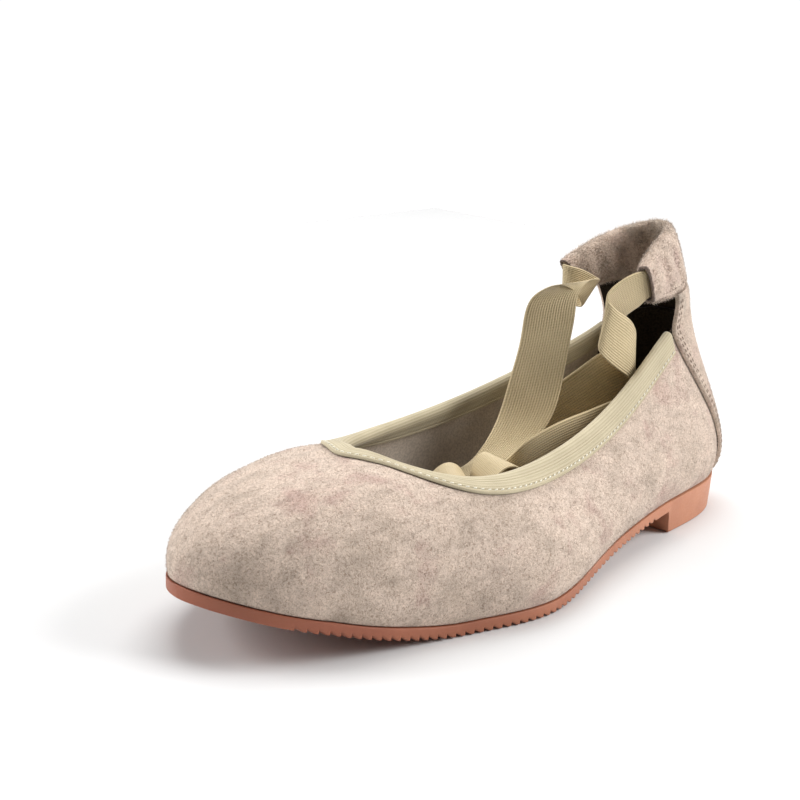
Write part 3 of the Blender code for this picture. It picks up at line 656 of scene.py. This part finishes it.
def elastic_finish(name, light, shade, rib, stitch, relief):
    """Knitted elastic: rib and stitch are its pitches across and along, read from the cloth's own
    UV in metres. Each rib is a round cord of slanting loops, with painted light on its crests and
    painted shade in its grooves."""
    finish, tree, shader = start_finish(name, 0.82, 0.2, 0.25, 0.35)
    cloth = add_node(tree, "ShaderNodeUVMap", uv_map="cloth").outputs["UV"]
    parts = add_node(tree, "ShaderNodeSeparateXYZ", {0: cloth})
    along, across = parts.outputs["X"], parts.outputs["Y"]

    def maths(kind, *values):
        return add_node(tree, "ShaderNodeMath", enumerate(values), operation=kind).outputs[0]

    rib_wave = maths("COSINE", maths("MULTIPLY", across, 2 * math.pi / rib))
    lean = maths("MULTIPLY", rib_wave, 1.3)
    loop_wave = maths("COSINE", maths("ADD", maths("MULTIPLY", along, 2 * math.pi / stitch), lean))
    weave = maths("ADD", maths("MULTIPLY", rib_wave, -0.5), maths("MULTIPLY", loop_wave, 0.15))
    height = maths("ADD", weave, maths("MULTIPLY", noise_node(tree, cloth, 1600.0, 2.0), 0.35))
    tree.links.new(bump_node(tree, height, relief, 0.0002), shader.inputs["Normal"])
    # The colour follows the weave's height: painted shade in the grooves between ribs and loops, painted
    # light on their crests.
    tone = ramp_node(tree, maths("MULTIPLY_ADD", height, 0.5, 0.45), [(0.05, shade), (0.6, light)])
    spot = add_node(tree, "ShaderNodeTexCoord").outputs["Object"]
    worn = ramp_node(tree, noise_node(tree, spot, 90.0, 3.0),
                     [(0.3, (0.92, 0.91, 0.89)), (0.7, (1.04, 1.04, 1.03))])
    tree.links.new(tint_node(tree, tone, worn), shader.inputs["Base Color"])
    return finish


# Crest and groove colours of the binding: painted light and painted shade.
ELASTIC_PAINTED_LIGHT = (0.53, 0.465, 0.33)
ELASTIC_PAINTED_SHADE = (0.37, 0.31, 0.20)
BINDING_RIB_PITCH = 0.00105
BINDING_LOOP_PITCH = 0.0007
binding_elastic = elastic_finish("binding_elastic", ELASTIC_PAINTED_LIGHT, ELASTIC_PAINTED_SHADE,
                                 BINDING_RIB_PITCH, BINDING_LOOP_PITCH, 0.35)


def outer_face_at(place, down):
    """Point and outward normal of the upper's outer face at a distance down from the topline."""
    fine = np.linspace(0.5, 1, 60)
    points = last_surface(place[:, None] + 0 * fine, fine[None, :] + 0 * place[:, None])
    normals = surface_normals(points)
    step = np.linalg.norm(np.diff(points, axis=1), axis=-1)
    depth = np.concatenate([np.cumsum(step[:, ::-1], axis=1)[:, ::-1], 0 * step[:, :1]], 1)
    each = np.arange(len(place))[:, None]
    deeper = (depth[:, None, :] > down[None, :, None]).sum(-1).clip(1, len(fine) - 1)
    low, high = depth[each, deeper - 1], depth[each, deeper]
    t = ((low - down[None]) / (low - high))[..., None]
    at = points[each, deeper - 1] * (1 - t) + points[each, deeper] * t
    return at, unit(normals[each, deeper - 1] * (1 - t) + normals[each, deeper] * t)


def ring_piece(name, rings, finish, turned=True, uv=None):
    """A skin of closed rings, each joined to the next, with a cap on the first and on the last.

    turned says that each ring runs counterclockwise, seen along the piece, so its faces are turned.
    """
    count, columns = rings.shape[:2]
    first = np.arange(columns)
    quads, caps = grid_quads(count, columns, False, True), [first[::-1], first + (count - 1) * columns]
    if turned:
        quads, caps = quads[:, ::-1], [cap[::-1] for cap in caps]
    return piece_from(name, rings, quads, [finish], uv=uv, caps=caps)


def build_binding():
    """The folded strip: its section runs up the outside, over the rim and down the inside as one
    closed ring, with BINDING_RIBS round ribs and a groove at the stitching."""
    edge = np.array(PANEL_EDGE)[-1]
    place = np.linspace(edge[1] + BINDING_CLEAR, TURNS - edge[2] - BINDING_CLEAR, BINDING_STATIONS)
    down = np.linspace(BINDING_WIDTH, 0.0002, 38)
    at, outward = outer_face_at(place, down)
    clear = GAP + 0.0001
    ribbed = BINDING_WIDTH - BINDING_SEAM
    ribs = RIB_RELIEF * (1 - np.cos(2 * math.pi * down / ribbed * BINDING_RIBS)) / 2
    seam = GROOVE_DEPTH * np.exp(-((down - ribbed) / 0.0004) ** 2)
    to_edge = np.clip((BINDING_WIDTH - down) / BINDING_ROUNDING, 0, 1)
    edge_round = np.sqrt(np.clip(1 - (1 - to_edge) ** 2, 0, 1))
    thick = (BINDING_WALL + ribs - seam) * edge_round
    out_top = at + outward * (clear + thick[None, :, None])
    out_under = at + outward * clear
    in_under = at - outward * (UPPER_WALL + clear)
    in_top = at - outward * (UPPER_WALL + clear + thick[None, :, None])
    rim, rim_normal = at[:, -1], outward[:, -1]
    up = unit(at[:, -1] - at[:, -3])
    turn = np.linspace(0, math.pi, 13)[1:-1]
    centre = rim - rim_normal * UPPER_WALL / 2
    big = UPPER_WALL / 2 + clear + BINDING_WALL
    small = UPPER_WALL / 2 + clear

    def arch(radius, lift):
        return (centre[:, None] + rim_normal[:, None] * (radius * np.cos(turn))[None, :, None]
                + up[:, None] * (lift * np.sin(turn))[None, :, None])

    over = arch(big, small + BINDING_WALL)
    under = arch(small, small)
    rings = np.concatenate([out_top, over, in_top[:, ::-1],
                            in_under, under[:, ::-1], out_under[:, ::-1]], 1)
    run, width = run_along(rings[:, 10]), run_along(rings[BINDING_STATIONS // 2])
    uv = np.stack(np.broadcast_arrays(run[:, None], width[None, :]), -1)
    return ring_piece("topline_binding", rings, binding_elastic, False, uv)


binding = build_binding()
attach(binding, "root")
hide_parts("binding")


# Stitching: a pale slanting lockstitch through the binding, and rows of dark thread that hold the
# heel panel's edges and the casing. Each stitch is a short thread that dips into the leather.
BINDING_STITCH = 0.0025
PANEL_STITCH = 0.0024
PANEL_SEAMS = (0.0015, 0.0033)
CASING_STITCH = 0.0026
CASING_SEAMS = [
    # height, start
    (0.10, 0.12),
    (0.26, 0.20),
]
PALE_THREAD = 0.00042
DARK_THREAD = 0.000336
STITCH_RINGS = 9
STITCH_SIDES = 6


def thread_finish(name, colour):
    """Sewing thread: a soft, matt colour with a fine twist of light and dark."""
    finish, tree, shader = start_finish(name, 0.7, 0.25)
    spot = add_node(tree, "ShaderNodeTexCoord").outputs["Object"]
    twist = noise_node(tree, spot, 2500.0, 1.0)
    dim = tuple(0.7 * part for part in colour)
    tree.links.new(ramp_node(tree, twist, [(0.3, dim), (0.6, colour)]), shader.inputs["Base Color"])
    return finish


def stitch_row(name, line, normal, pitch, fill, lean, radius, finish):
    """Stitches along a line on a surface: each is a bent thread of STITCH_RINGS rings, fill of the
    pitch long, leaning by lean across the line, and highest at its middle."""
    run = run_along(line)
    starts = np.arange(pitch / 2, run[-1] - pitch / 2, pitch)
    share = np.linspace(-1, 1, STITCH_RINGS)
    s = starts[:, None] + share[None, :] * pitch * fill / 2

    def read(values, where):
        return np.stack([np.interp(where, run, values[:, i]) for i in range(3)], -1)

    up = unit(read(normal, s))
    along = unit(read(line, s + 0.0001) - read(line, s - 0.0001))
    sideways = np.cross(up, along)
    arch = radius * (0.9 - 1.3 * share ** 4)
    middle = read(line, s) + up * arch[None, :, None] + sideways * (lean * share)[None, :, None]
    thin = radius * np.sqrt(np.clip(1 - share ** 6 * 0.95, 0, 1))
    turn = np.linspace(0, 2 * math.pi, STITCH_SIDES, endpoint=False)
    ring = (middle[:, :, None] + up[:, :, None] * (thin[None, :, None] * np.sin(turn))[..., None]
            + sideways[:, :, None] * (thin[None, :, None] * np.cos(turn))[..., None])
    last = (STITCH_RINGS - 1) * STITCH_SIDES
    ends = [(3, 2, 1, 0), (5, 4, 3, 0), (last, last + 1, last + 2, last + 3),
            (last, last + 3, last + 4, last + 5)]
    one = np.concatenate([grid_quads(STITCH_RINGS, STITCH_SIDES, False, True), ends])
    each = np.arange(len(starts))[:, None, None] * STITCH_RINGS * STITCH_SIDES
    seam = piece_from(name, ring, (one[None] + each).reshape(-1, 4), [finish])
    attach(seam, "root")
    return seam


def binding_seam_line():
    """Line along the binding's groove, and its normals."""
    edge = np.array(PANEL_EDGE)[-1]
    ends = BINDING_CLEAR + 0.03
    place = np.linspace(edge[1] + ends, TURNS - edge[2] - ends, 900)
    at, outward = outer_face_at(place, np.array([BINDING_WIDTH - BINDING_SEAM]))
    return at[:, 0] + outward[:, 0] * (GAP + BINDING_WALL - 0.0001), outward[:, 0]


def panel_line(inset, side, low, high):
    """Line on the panel's outer face, inset from its lateral (side 1) or medial (side 0) edge."""
    across = np.linspace(0.0, 1.0, 240)
    level = np.linspace(low, high, 160)
    across, level = np.meshgrid(across, level, indexing="ij")
    under = panel_face(across, level)
    normal = surface_normals(under)
    run = run_along(under)
    target = run[-1] - inset if side else 0 * run[-1] + inset
    index = (run < target[None]).sum(0).clip(1, len(run) - 1)
    each = np.arange(run.shape[1])
    t = ((target - run[index - 1, each]) / (run[index, each] - run[index - 1, each]))[:, None]
    line = under[index - 1, each] * (1 - t) + under[index, each] * t
    up = normal[index, each]
    return line + up * (GAP + PANEL_WALL), up


pale_thread = thread_finish("pale_thread", (0.86, 0.82, 0.71))
dark_thread = thread_finish("dark_thread", (0.43, 0.335, 0.275))
binding_stitches = stitch_row("binding_stitches", *binding_seam_line(), BINDING_STITCH, 0.62, 0.0002,
                              PALE_THREAD / 2, pale_thread)
for side, side_name in ((1, "lateral"), (0, "medial")):
    for row, inset in enumerate(PANEL_SEAMS):
        seam = stitch_row("panel_stitches_%s_%d" % (side_name, row + 1),
                          *panel_line(inset, side, 0.03, 1.97), PANEL_STITCH, 0.6, 0.0,
                          DARK_THREAD / 2, dark_thread)


def casing_seam_line(height, start):
    """Line along the casing's outer face at a share of its height, from a place near its end."""
    place = np.linspace(start, len(CASING) - 1 - start, 400)
    turn = math.pi - math.acos(1 - 2 * height)
    points = casing_ring(place, 0 * place + turn, 0 * place)
    beside = casing_ring(place, 0 * place + turn, 0 * place + CASING_WALL)
    return points, unit(points - beside)


for row, (height, start) in enumerate(CASING_SEAMS):
    casing_stitches = stitch_row("casing_stitches_%d" % (row + 1), *casing_seam_line(height, start),
                                 CASING_STITCH, 0.6, 0.0, DARK_THREAD / 2, dark_thread)


# Sole unit: one moulding of terracotta rubber, flat under the ball and the heel, with a low heel
# block, a sloped breast, toe spring, and slanting saw-tooth notches along the forefoot's lower edge.
SOLE_REVEAL = 0.0006
HEEL_BREAST = 0.0520
BREAST_SLOPE = 0.0030
HEEL_TAPER = 0.0010
RIB_PITCH = 0.0032
RIB_DEPTH = 0.0013
RIB_MARGIN = 0.0085
NOSE_MARGIN = 0.0174
SOLE_CORNER = 0.0005
HEEL_ROUND_END = 0.030
# Shares of a tooth's pitch: where its sections stand, where it is deepest, and where it has fallen.
TOOTH_SECTIONS = (0.0, 0.2, 0.4, 0.55, 0.66, 0.70, 0.74, 0.85)
TOOTH_PEAK = 0.70
TOOTH_END = 0.72


def rubber_finish(name, heel, toe):
    """Moulded rubber: a colour that deepens from heel to toe, painted light at the heel and painted
    shade at the toe, faint clouding, and a fine matt grain.
    """
    finish, tree, shader = start_finish(name, 0.5, 0.4)
    spot = add_node(tree, "ShaderNodeTexCoord").outputs["Object"]
    forward = add_node(tree, "ShaderNodeSeparateXYZ", {0: spot}).outputs["X"]
    share = add_node(tree, "ShaderNodeMapRange", {"Value": forward, "From Min": -0.09, "From Max": 0.10})
    # The ramp from heel to toe: the heel's lighter colour is painted light, the toe's darker colour is
    # painted shade under the upper and the toe spring.
    tone = ramp_node(tree, share.outputs[0], [(0.0, heel), (1.0, toe)])
    clouded = ramp_node(tree, noise_node(tree, spot, 55.0, 4.0),
                        [(0.3, (0.84, 0.80, 0.80)), (0.62, WHITE)])
    tree.links.new(tint_node(tree, tone, clouded), shader.inputs["Base Color"])
    grain = noise_node(tree, spot, 1400.0, 3.0)
    matt = ramp_node(tree, grain, [(0.3, (0.42, 0.42, 0.42)), (0.7, (0.62, 0.62, 0.62))])
    tree.links.new(matt, shader.inputs["Roughness"])
    tree.links.new(bump_node(tree, grain, 0.2, 0.0002), shader.inputs["Normal"])
    return finish


# Heel colour, then toe colour: painted light on the heel block, painted shade at the toe.
sole_rubber = rubber_finish("sole_rubber", (0.53, 0.235, 0.135), (0.33, 0.105, 0.055))


def outline(x, side, offset):
    """Half outline at length x: the feather line moved outward by offset, on side 1 or -1."""
    place = side * np.linspace(0, TURNS / 2, 900)
    line = closed_curve(ROWS, place)[:, :2] + plan_normal(place)[:, :2] * offset
    return np.interp(x, line[:, 0], line[:, 1])


def outline_ends(offset):
    """Lengths of the outline's back and toe."""
    ends = np.array([0.0, TURNS / 2])
    x = closed_curve(ROWS, ends)[:, 0] + plan_normal(ends)[:, 0] * offset
    return x[0] + 0.00005, x[1] - 0.00005


def build_outsole():
    """Sections along the shoe: each ring goes over the top, down the lateral wall, round the lower
    corner, across the bottom and up the medial wall. The teeth lift the lower corner."""
    back, toe = outline_ends(SOLE_REVEAL)
    turn = np.linspace(0, math.pi / 2, 30)
    heel = back + (HEEL_ROUND_END - back) * (1 - np.cos(turn))
    first, last = HEEL_BREAST + BREAST_SLOPE + RIB_MARGIN, SOLE_LENGTH - NOSE_MARGIN
    nose = toe - (toe - last) * (1 - np.cos(turn))
    teeth = (np.arange(first, last, RIB_PITCH)[:, None]
             + RIB_PITCH * np.array(TOOTH_SECTIONS)).ravel()
    plain = np.linspace(HEEL_ROUND_END, first, 40)
    breast = np.linspace(HEEL_BREAST - 0.0006, HEEL_BREAST + BREAST_SLOPE + 0.0006, 14)
    x = np.unique(np.round(np.concatenate([heel, nose, teeth, plain, breast]), 6))
    x = x[(x >= back) & (x <= toe)]
    top = sole_top(x)
    front = np.clip((x - HEEL_BREAST) / BREAST_SLOPE, 0, 1)
    front = front * front * (3 - 2 * front)
    bottom = np.maximum(top - SOLE_THICKNESS, 0) * front
    pitch = (x - first) / RIB_PITCH
    pitch = pitch - np.floor(pitch)
    tooth = np.where(pitch > TOOTH_END, 0.0, np.clip(pitch / TOOTH_PEAK, 0, 1))
    notch = np.where((x > first) & (x < last), RIB_DEPTH * tooth, 0.0)
    halves = []
    for side in (1, -1):
        edge = outline(x, side, SOLE_REVEAL)
        middle = (outline(x, 1, SOLE_REVEAL) + outline(x, -1, SOLE_REVEAL)) / 2
        sign = np.sign(edge - middle)
        half = np.abs(edge - middle)
        taper = np.minimum(HEEL_TAPER * (1 - front), half / 2)
        corner = np.minimum(SOLE_CORNER, half / 3)
        low = bottom + notch
        ring = []
        for t in (0.0, 0.08, 0.35, 0.65, 0.9):
            wall_in = taper * t + corner * 0.35 * (t == 0.0)
            ring.append((middle + sign * (half - wall_in), top + (low + corner - top) * t))
        for angle in (20, 45, 70, 90):
            bend = math.radians(angle)
            inset = taper + corner * (1 - math.cos(bend))
            ring.append((middle + sign * (half - inset), low + corner * (1 - math.sin(bend))))
        for reach, share in ((0.0015, 0.9), (0.004, 0.6), (0.008, 0.2), (0.010, 0.0)):
            inset = np.minimum(taper + corner + reach, half * (0.8 + reach * 10))
            ring.append((middle + sign * (half - inset), bottom + notch * share))
        halves.append(ring if side == 1 else ring[::-1])
    ring = halves[0] + halves[1]
    sections = np.stack([np.stack([x, y, z], -1) for y, z in ring], 1)
    return ring_piece("outsole_moulding", sections, sole_rubber)


outsole = build_outsole()
outsole_edges = outsole.modifiers.new("edges", "WEIGHTED_NORMAL")
outsole_edges.keep_sharp = True
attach(outsole, "root")
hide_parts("outsole")


# Insole: a thin board with a soft lining sock on it, inside the shell's wall from heel to toe.
INSOLE_THICKNESS = 0.0022
SOCK_TUCK = 0.0005


def build_insole():
    """A cushion of even height over the sole: flat below, crowned above, with rounded edges."""
    inset = -(UPPER_WALL - SOCK_TUCK)
    back, toe = outline_ends(inset)
    x = (back + toe) / 2 - (toe - back) / 2 * np.cos(np.linspace(0, math.pi, 190))
    across = np.sin(np.linspace(-math.pi / 2, math.pi / 2, 44))
    lateral, medial = outline(x, 1, inset), outline(x, -1, inset)
    y = (lateral + medial)[:, None] / 2 + (lateral - medial)[:, None] / 2 * across[None, :]
    edge = (lateral - medial)[:, None] / 2 * (1 - np.abs(across))[None, :]
    rounding = np.sqrt(1 - (1 - np.clip(edge / 0.0012, 0, 1)) ** 2)
    low = (sole_top(x) + GAP)[:, None] + 0 * y
    wave = 0.0002 * np.sin(x * 120)[:, None]
    high = low + INSOLE_THICKNESS * (0.45 + 0.55 * rounding) + wave * rounding
    x = x[:, None] + 0 * y
    top = np.stack([x, y, high], -1)
    under = np.stack([x, y, low], -1)[:, ::-1]
    return ring_piece("insole_sock", np.concatenate([top, under], 1), sock_lining)


sock_lining = lining_finish("sock_lining", (0.24, 0.20, 0.165), (0.16, 0.13, 0.105))
insole = build_insole()
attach(insole, "root")
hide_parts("insole")


# Ribbon: 17 mm knitted elastic, 1 mm thick, drawn through the casing. Its tails come out at the two
# wings, turn over and drop into the shoe, where the rest of it lies in a loose heap of folds.
RIBBON_WIDTH = 0.0170
RIBBON_THICKNESS = 0.0010
TAIL_STATIONS = 420
TAIL_LATERAL = [
    # x, y, z, across_x, across_y, across_z, width
    (0.0591, 0.0122, 0.0877, 0.32, 0.00, 0.95, 0.64),
    (0.0625, 0.0112, 0.0862, 0.35, -0.04, 0.94, 0.74),
    (0.0665, 0.0099, 0.0841, 0.47, -0.05, 0.88, 0.77),
    (0.0700, 0.0089, 0.0814, 0.43, -0.04, 0.90, 0.80),
    (0.0740, 0.0085, 0.0780, 0.11, 0.03, 0.99, 0.88),
    (0.0768, 0.0097, 0.0760, -0.19, 0.06, 0.98, 0.92),
    (0.0760, 0.0113, 0.0734, -0.35, 0.04, 0.94, 0.95),
    (0.0704, 0.0120, 0.0696, -0.30, 0.00, 0.95, 1.03),
    (0.0640, 0.0115, 0.0657, -0.15, -0.03, 0.99, 1.07),
    (0.0573, 0.0091, 0.0611, -0.01, -0.06, 1.00, 1.07),
    (0.0540, 0.0061, 0.0568, 0.24, -0.05, 0.97, 1.15),
    (0.0569, 0.0046, 0.0550, 0.44, -0.02, 0.90, 1.32),
    (0.0634, 0.0036, 0.0535, 0.51, -0.02, 0.86, 1.38),
    (0.0691, 0.0015, 0.0505, 0.52, -0.04, 0.85, 1.31),
    (0.0737, -0.0022, 0.0462, 0.53, -0.07, 0.85, 1.25),
    (0.0785, -0.0073, 0.0410, 0.56, -0.07, 0.83, 1.20),
    (0.0840, -0.0118, 0.0358, 0.56, -0.08, 0.82, 1.16),
    (0.0905, -0.0143, 0.0315, 0.57, -0.08, 0.82, 1.12),
]
TAIL_MEDIAL = [
    # x, y, z, across_x, across_y, across_z, width
    (0.0619, -0.0184, 0.0862, 0.68, 0.05, 0.73, 0.66),
    (0.0655, -0.0175, 0.0860, 0.30, 0.05, 0.95, 0.66),
    (0.0685, -0.0152, 0.0860, 0.00, 0.07, 1.00, 0.66),
    (0.0683, -0.0120, 0.0852, -0.22, 0.05, 0.97, 0.70),
    (0.0662, -0.0095, 0.0837, -0.50, 0.00, 0.87, 0.76),
    (0.0650, -0.0066, 0.0828, -0.68, 0.00, 0.74, 0.74),
    (0.0680, -0.0043, 0.0845, -0.86, -0.10, 0.50, 0.74),
    (0.0730, -0.0028, 0.0868, -0.96, -0.15, 0.22, 0.76),
    (0.0785, -0.0027, 0.0884, -0.99, 0.12, 0.02, 0.82),
    (0.0830, -0.0038, 0.0871, -0.92, 0.38, 0.05, 0.94),
    (0.0858, -0.0050, 0.0843, -0.85, 0.51, 0.11, 1.02),
    (0.0869, -0.0057, 0.0799, -0.78, 0.60, 0.15, 1.05),
    (0.0873, -0.0060, 0.0745, -0.74, 0.64, 0.17, 1.06),
    (0.0886, -0.0061, 0.0673, -0.73, 0.66, 0.15, 1.05),
    (0.0910, -0.0061, 0.0585, -0.74, 0.65, 0.14, 1.10),
    (0.0937, -0.0059, 0.0503, -0.77, 0.63, 0.14, 1.15),
    (0.0975, -0.0056, 0.0427, -0.78, 0.60, 0.15, 1.18),
    (0.1035, -0.0054, 0.0365, -0.79, 0.59, 0.17, 1.16),
    (0.1100, -0.0053, 0.0326, -0.78, 0.60, 0.20, 1.10),
    (0.1155, -0.0055, 0.0300, -0.72, 0.68, 0.16, 1.06),
]
RIBBON_LOOP = [
    # x, y, z, across_x, across_y, across_z, width
    (0.0985, -0.0140, 0.0270, 0.50, -0.05, 0.86, 1.03),
    (0.1065, -0.0105, 0.0230, 0.35, 0.00, 0.94, 1.00),
    (0.1125, -0.0050, 0.0210, 0.20, 0.00, 0.98, 0.95),
    (0.1158, 0.0026, 0.0250, 0.12, 0.05, 0.99, 1.00),
    (0.1130, 0.0080, 0.0312, 0.22, 0.03, 0.98, 1.05),
    (0.1040, 0.0108, 0.0356, 0.30, 0.00, 0.95, 1.08),
    (0.0935, 0.0122, 0.0380, 0.34, 0.00, 0.94, 1.10),
    (0.0830, 0.0126, 0.0391, 0.35, 0.00, 0.94, 1.10),
    (0.0730, 0.0126, 0.0401, 0.36, 0.00, 0.93, 1.10),
    (0.0630, 0.0123, 0.0402, 0.36, 0.00, 0.93, 1.10),
    (0.0540, 0.0100, 0.0370, 0.20, 0.00, 0.98, 1.05),
    (0.0492, 0.0048, 0.0320, 0.05, 0.00, 1.00, 1.00),
    (0.0505, -0.0012, 0.0275, 0.00, 0.00, 1.00, 1.00),
    (0.0570, -0.0046, 0.0244, 0.05, 0.00, 1.00, 1.00),
    (0.0640, -0.0052, 0.0232, 0.05, 0.00, 1.00, 1.00),
]
HEAP = [
    # x, y, z, across_x, across_y, across_z, width
    (0.1225, -0.0075, 0.0262, -0.50, 0.86, 0.10, 1.00),
    (0.1310, -0.0092, 0.0215, -0.20, 0.97, 0.05, 0.98),
    (0.1395, -0.0085, 0.0185, 0.20, 0.98, 0.00, 0.96),
    (0.1465, -0.0050, 0.0200, 0.50, 0.87, 0.00, 0.95),
    (0.1492, -0.0022, 0.0252, 0.60, 0.80, 0.00, 0.95),
    (0.1458, -0.0012, 0.0308, 0.60, 0.80, 0.00, 0.95),
    (0.1390, -0.0008, 0.0336, 0.60, 0.80, 0.00, 0.95),
    (0.1336, 0.0002, 0.0312, 0.60, 0.80, 0.00, 0.95),
    (0.1322, 0.0015, 0.0268, 0.55, 0.83, 0.00, 0.95),
    (0.1316, 0.0032, 0.0238, 0.50, 0.87, 0.00, 0.95),
    (0.1308, 0.0048, 0.0275, 0.45, 0.89, 0.00, 1.00),
    (0.1298, 0.0056, 0.0328, 0.40, 0.92, 0.00, 1.00),
    (0.1250, 0.0060, 0.0362, 0.30, 0.95, 0.00, 1.00),
    (0.1200, 0.0067, 0.0338, 0.15, 0.99, 0.00, 0.95),
    (0.1187, 0.0072, 0.0280, 0.10, 0.99, 0.00, 0.95),
    (0.1200, 0.0072, 0.0228, 0.10, 0.99, 0.00, 0.95),
    (0.1255, 0.0065, 0.0178, 0.10, 0.99, 0.00, 0.95),
    (0.1335, 0.0050, 0.0132, 0.10, 0.99, 0.00, 0.95),
    (0.1420, 0.0030, 0.0100, 0.10, 0.99, 0.00, 0.95),
    (0.1500, 0.0010, 0.0085, 0.10, 0.99, 0.00, 0.95),
]
RIBBON_RIB_PITCH = 0.00085
RIBBON_LOOP_PITCH = 0.0010
# Ribbon colours: painted light on the crests of the weave, painted shade in its grooves.
ribbon_elastic = elastic_finish("ribbon_elastic", (0.64, 0.52, 0.325), (0.37, 0.285, 0.155),
                                RIBBON_RIB_PITCH, RIBBON_LOOP_PITCH, 1.0)


def ribbon_route(table, count):
    """Middle line, direction across and width of a ribbon, read along a smooth curve of its table."""
    rows = open_curve(table, np.linspace(0, len(table) - 1, count))
    return rows[:, :3], unit(rows[:, 3:6]), rows[:, 6] * RIBBON_WIDTH


def ribbon_piece(name, centre, across, width):
    """A flat ribbon with round edges: a ring across it, carried along its middle line."""
    face = unit(np.cross(np.gradient(centre, axis=0), across))
    spread = np.sin(np.linspace(-math.pi / 2, math.pi / 2, 27))
    round_off = np.clip(1 - np.abs(spread) ** 14, 0, 1) ** 0.5
    s = np.concatenate([spread, spread[-2:0:-1]])
    t = np.concatenate([round_off, -round_off[-2:0:-1]])
    ring = (centre[:, None] + across[:, None] * (s[None, :] * width[:, None] / 2)[..., None]
            + face[:, None] * (t * RIBBON_THICKNESS / 2)[None, :, None])
    uv = np.stack(np.broadcast_arrays(run_along(centre)[:, None], (s * RIBBON_WIDTH / 2)[None, :]), -1)
    return ring_piece(name, ring, ribbon_elastic, uv=uv)


def declare_ribbon(piece, nodes):
    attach(piece, "root")
    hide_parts(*nodes)


def drawn_route(stations):
    """Rows of the ribbon in the tunnel, from the medial tail's first row to the lateral tail's."""
    place = np.linspace(0.05, len(CASING) - 1.05, stations)
    top = casing_ring(place, 0 * place, 0 * place + CASING_WALL)
    low = casing_ring(place, 0 * place + math.pi, 0 * place + CASING_WALL)
    height = np.linalg.norm(top - low, axis=-1, keepdims=True)
    rows = np.concatenate([(top + low) / 2, (top - low) / height, (height - 4 * GAP) / RIBBON_WIDTH], -1)
    return np.concatenate([[TAIL_MEDIAL[0]], rows, [TAIL_LATERAL[0]]])


ribbon_drawn = ribbon_piece("ribbon_drawn_through", *ribbon_route(drawn_route(22), 240))
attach(ribbon_drawn, "root")
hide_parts("ribbon_in_casing")

for ribbon_name, ribbon_table, ribbon_nodes in (
        ("ribbon_outer_tail", TAIL_LATERAL + RIBBON_LOOP, ("ribbon_tail_lateral", "ribbon_loop")),
        ("ribbon_inner_tail", TAIL_MEDIAL + HEAP, ("ribbon_tail_medial", "ribbon_bundle"))):
    ribbon_centre, ribbon_across, ribbon_width = ribbon_route(ribbon_table, TAIL_STATIONS)
    ribbon = ribbon_piece(ribbon_name, ribbon_centre, ribbon_across, ribbon_width)
    declare_ribbon(ribbon, ribbon_nodes)


# Studio: a plain pale floor, three soft lights from behind, above and the toe's side, and a camera at
# the photograph's angle, rolled a little as the photograph is.
FLOOR_HALF = 0.55
FLOOR_DROP = -0.0002


def build_floor():
    """A flat square floor, larger than the shoe."""
    corners = np.array([[-1, -1], [1, -1], [1, 1], [-1, 1]]) * FLOOR_HALF
    corners = np.column_stack([corners, np.full(4, FLOOR_DROP)])
    return piece_from("floor", corners + PLACE_OF_MODEL, np.array([[0, 1, 2, 3]]), [floor_paper])


floor_paper, _, floor_shader = start_finish("floor_paper", 0.9, 0.1)
floor_shader.inputs["Base Color"].default_value = (0.72, 0.72, 0.72, 1.0)
floor = build_floor()


def soft_light(name, place, aim, size, power):
    """A square area light at a place, turned to face a point. Its size is its side in metres."""
    lamp = bpy.data.lights.new(name, "AREA")
    lamp.shape = "SQUARE"
    lamp.size = size
    lamp.energy = power
    light = bpy.data.objects.new(name, lamp)
    back = unit(np.array(place) - np.array(aim))
    right = unit(np.cross([0.0, 0.0, 1.0], back))
    turned = np.eye(4)
    turned[:3] = np.column_stack([right, np.cross(back, right), back, place])
    light.matrix_world = Matrix(turned.tolist())
    bpy.context.scene.collection.objects.link(light)


soft_light("key_light", (-0.75, 0.85, 0.75), (0.0, 0.0, 0.04), 0.8, 19.0)
soft_light("top_light", (-0.3, -0.3, 1.3), (0.0, 0.0, 0.0), 1.1, 17.0)
soft_light("left_light", (0.75, -0.85, 0.55), (0.05, 0.0, 0.03), 0.6, 12.0)
bpy.context.scene.view_settings.view_transform = "Standard"
world = bpy.data.worlds.new("studio")
world.use_nodes = True
world_tree = world.node_tree
seen = add_node(world_tree, "ShaderNodeLightPath").outputs["Is Camera Ray"]
sky = add_node(world_tree, "ShaderNodeMapRange", {"Value": seen, "To Min": 0.16, "To Max": 1.05})
world_tree.links.new(sky.outputs[0], world_tree.nodes["Background"].inputs["Strength"])
world_tree.nodes["Background"].inputs["Color"].default_value = (1.0, 1.0, 1.0, 1.0)
bpy.context.scene.world = world

CAMERA_PLACE = (0.38474, 0.33160, 0.19449)
CAMERA_AZIMUTH = 45.723
CAMERA_ELEVATION = 15.443
CAMERA_ROLL = 2.314
CAMERA_LENS = 72.79


def build_camera():
    """The camera looks down at the shoe from its azimuth and elevation, with a small roll."""
    azimuth, elevation, roll = np.radians([CAMERA_AZIMUTH, CAMERA_ELEVATION, CAMERA_ROLL])
    back = np.array([math.sin(azimuth) * math.cos(elevation), math.cos(azimuth) * math.cos(elevation),
                     math.sin(elevation)])
    level_right = unit(np.cross(-back, [0.0, 0.0, 1.0]))
    level_up = np.cross(level_right, -back)
    turned = np.eye(4)
    turned[:3, 0] = math.cos(roll) * level_right + math.sin(roll) * level_up
    turned[:3, 1] = math.cos(roll) * level_up - math.sin(roll) * level_right
    turned[:3, 2] = back
    turned[:3, 3] = CAMERA_PLACE
    lens = bpy.data.cameras.new("camera")
    lens.lens = CAMERA_LENS
    lens.sensor_width = 36.0
    lens.clip_start = 0.01
    camera = bpy.data.objects.new("camera", lens)
    camera.matrix_world = Matrix(turned.tolist())
    bpy.context.scene.collection.objects.link(camera)
    bpy.context.scene.camera = camera


build_camera()
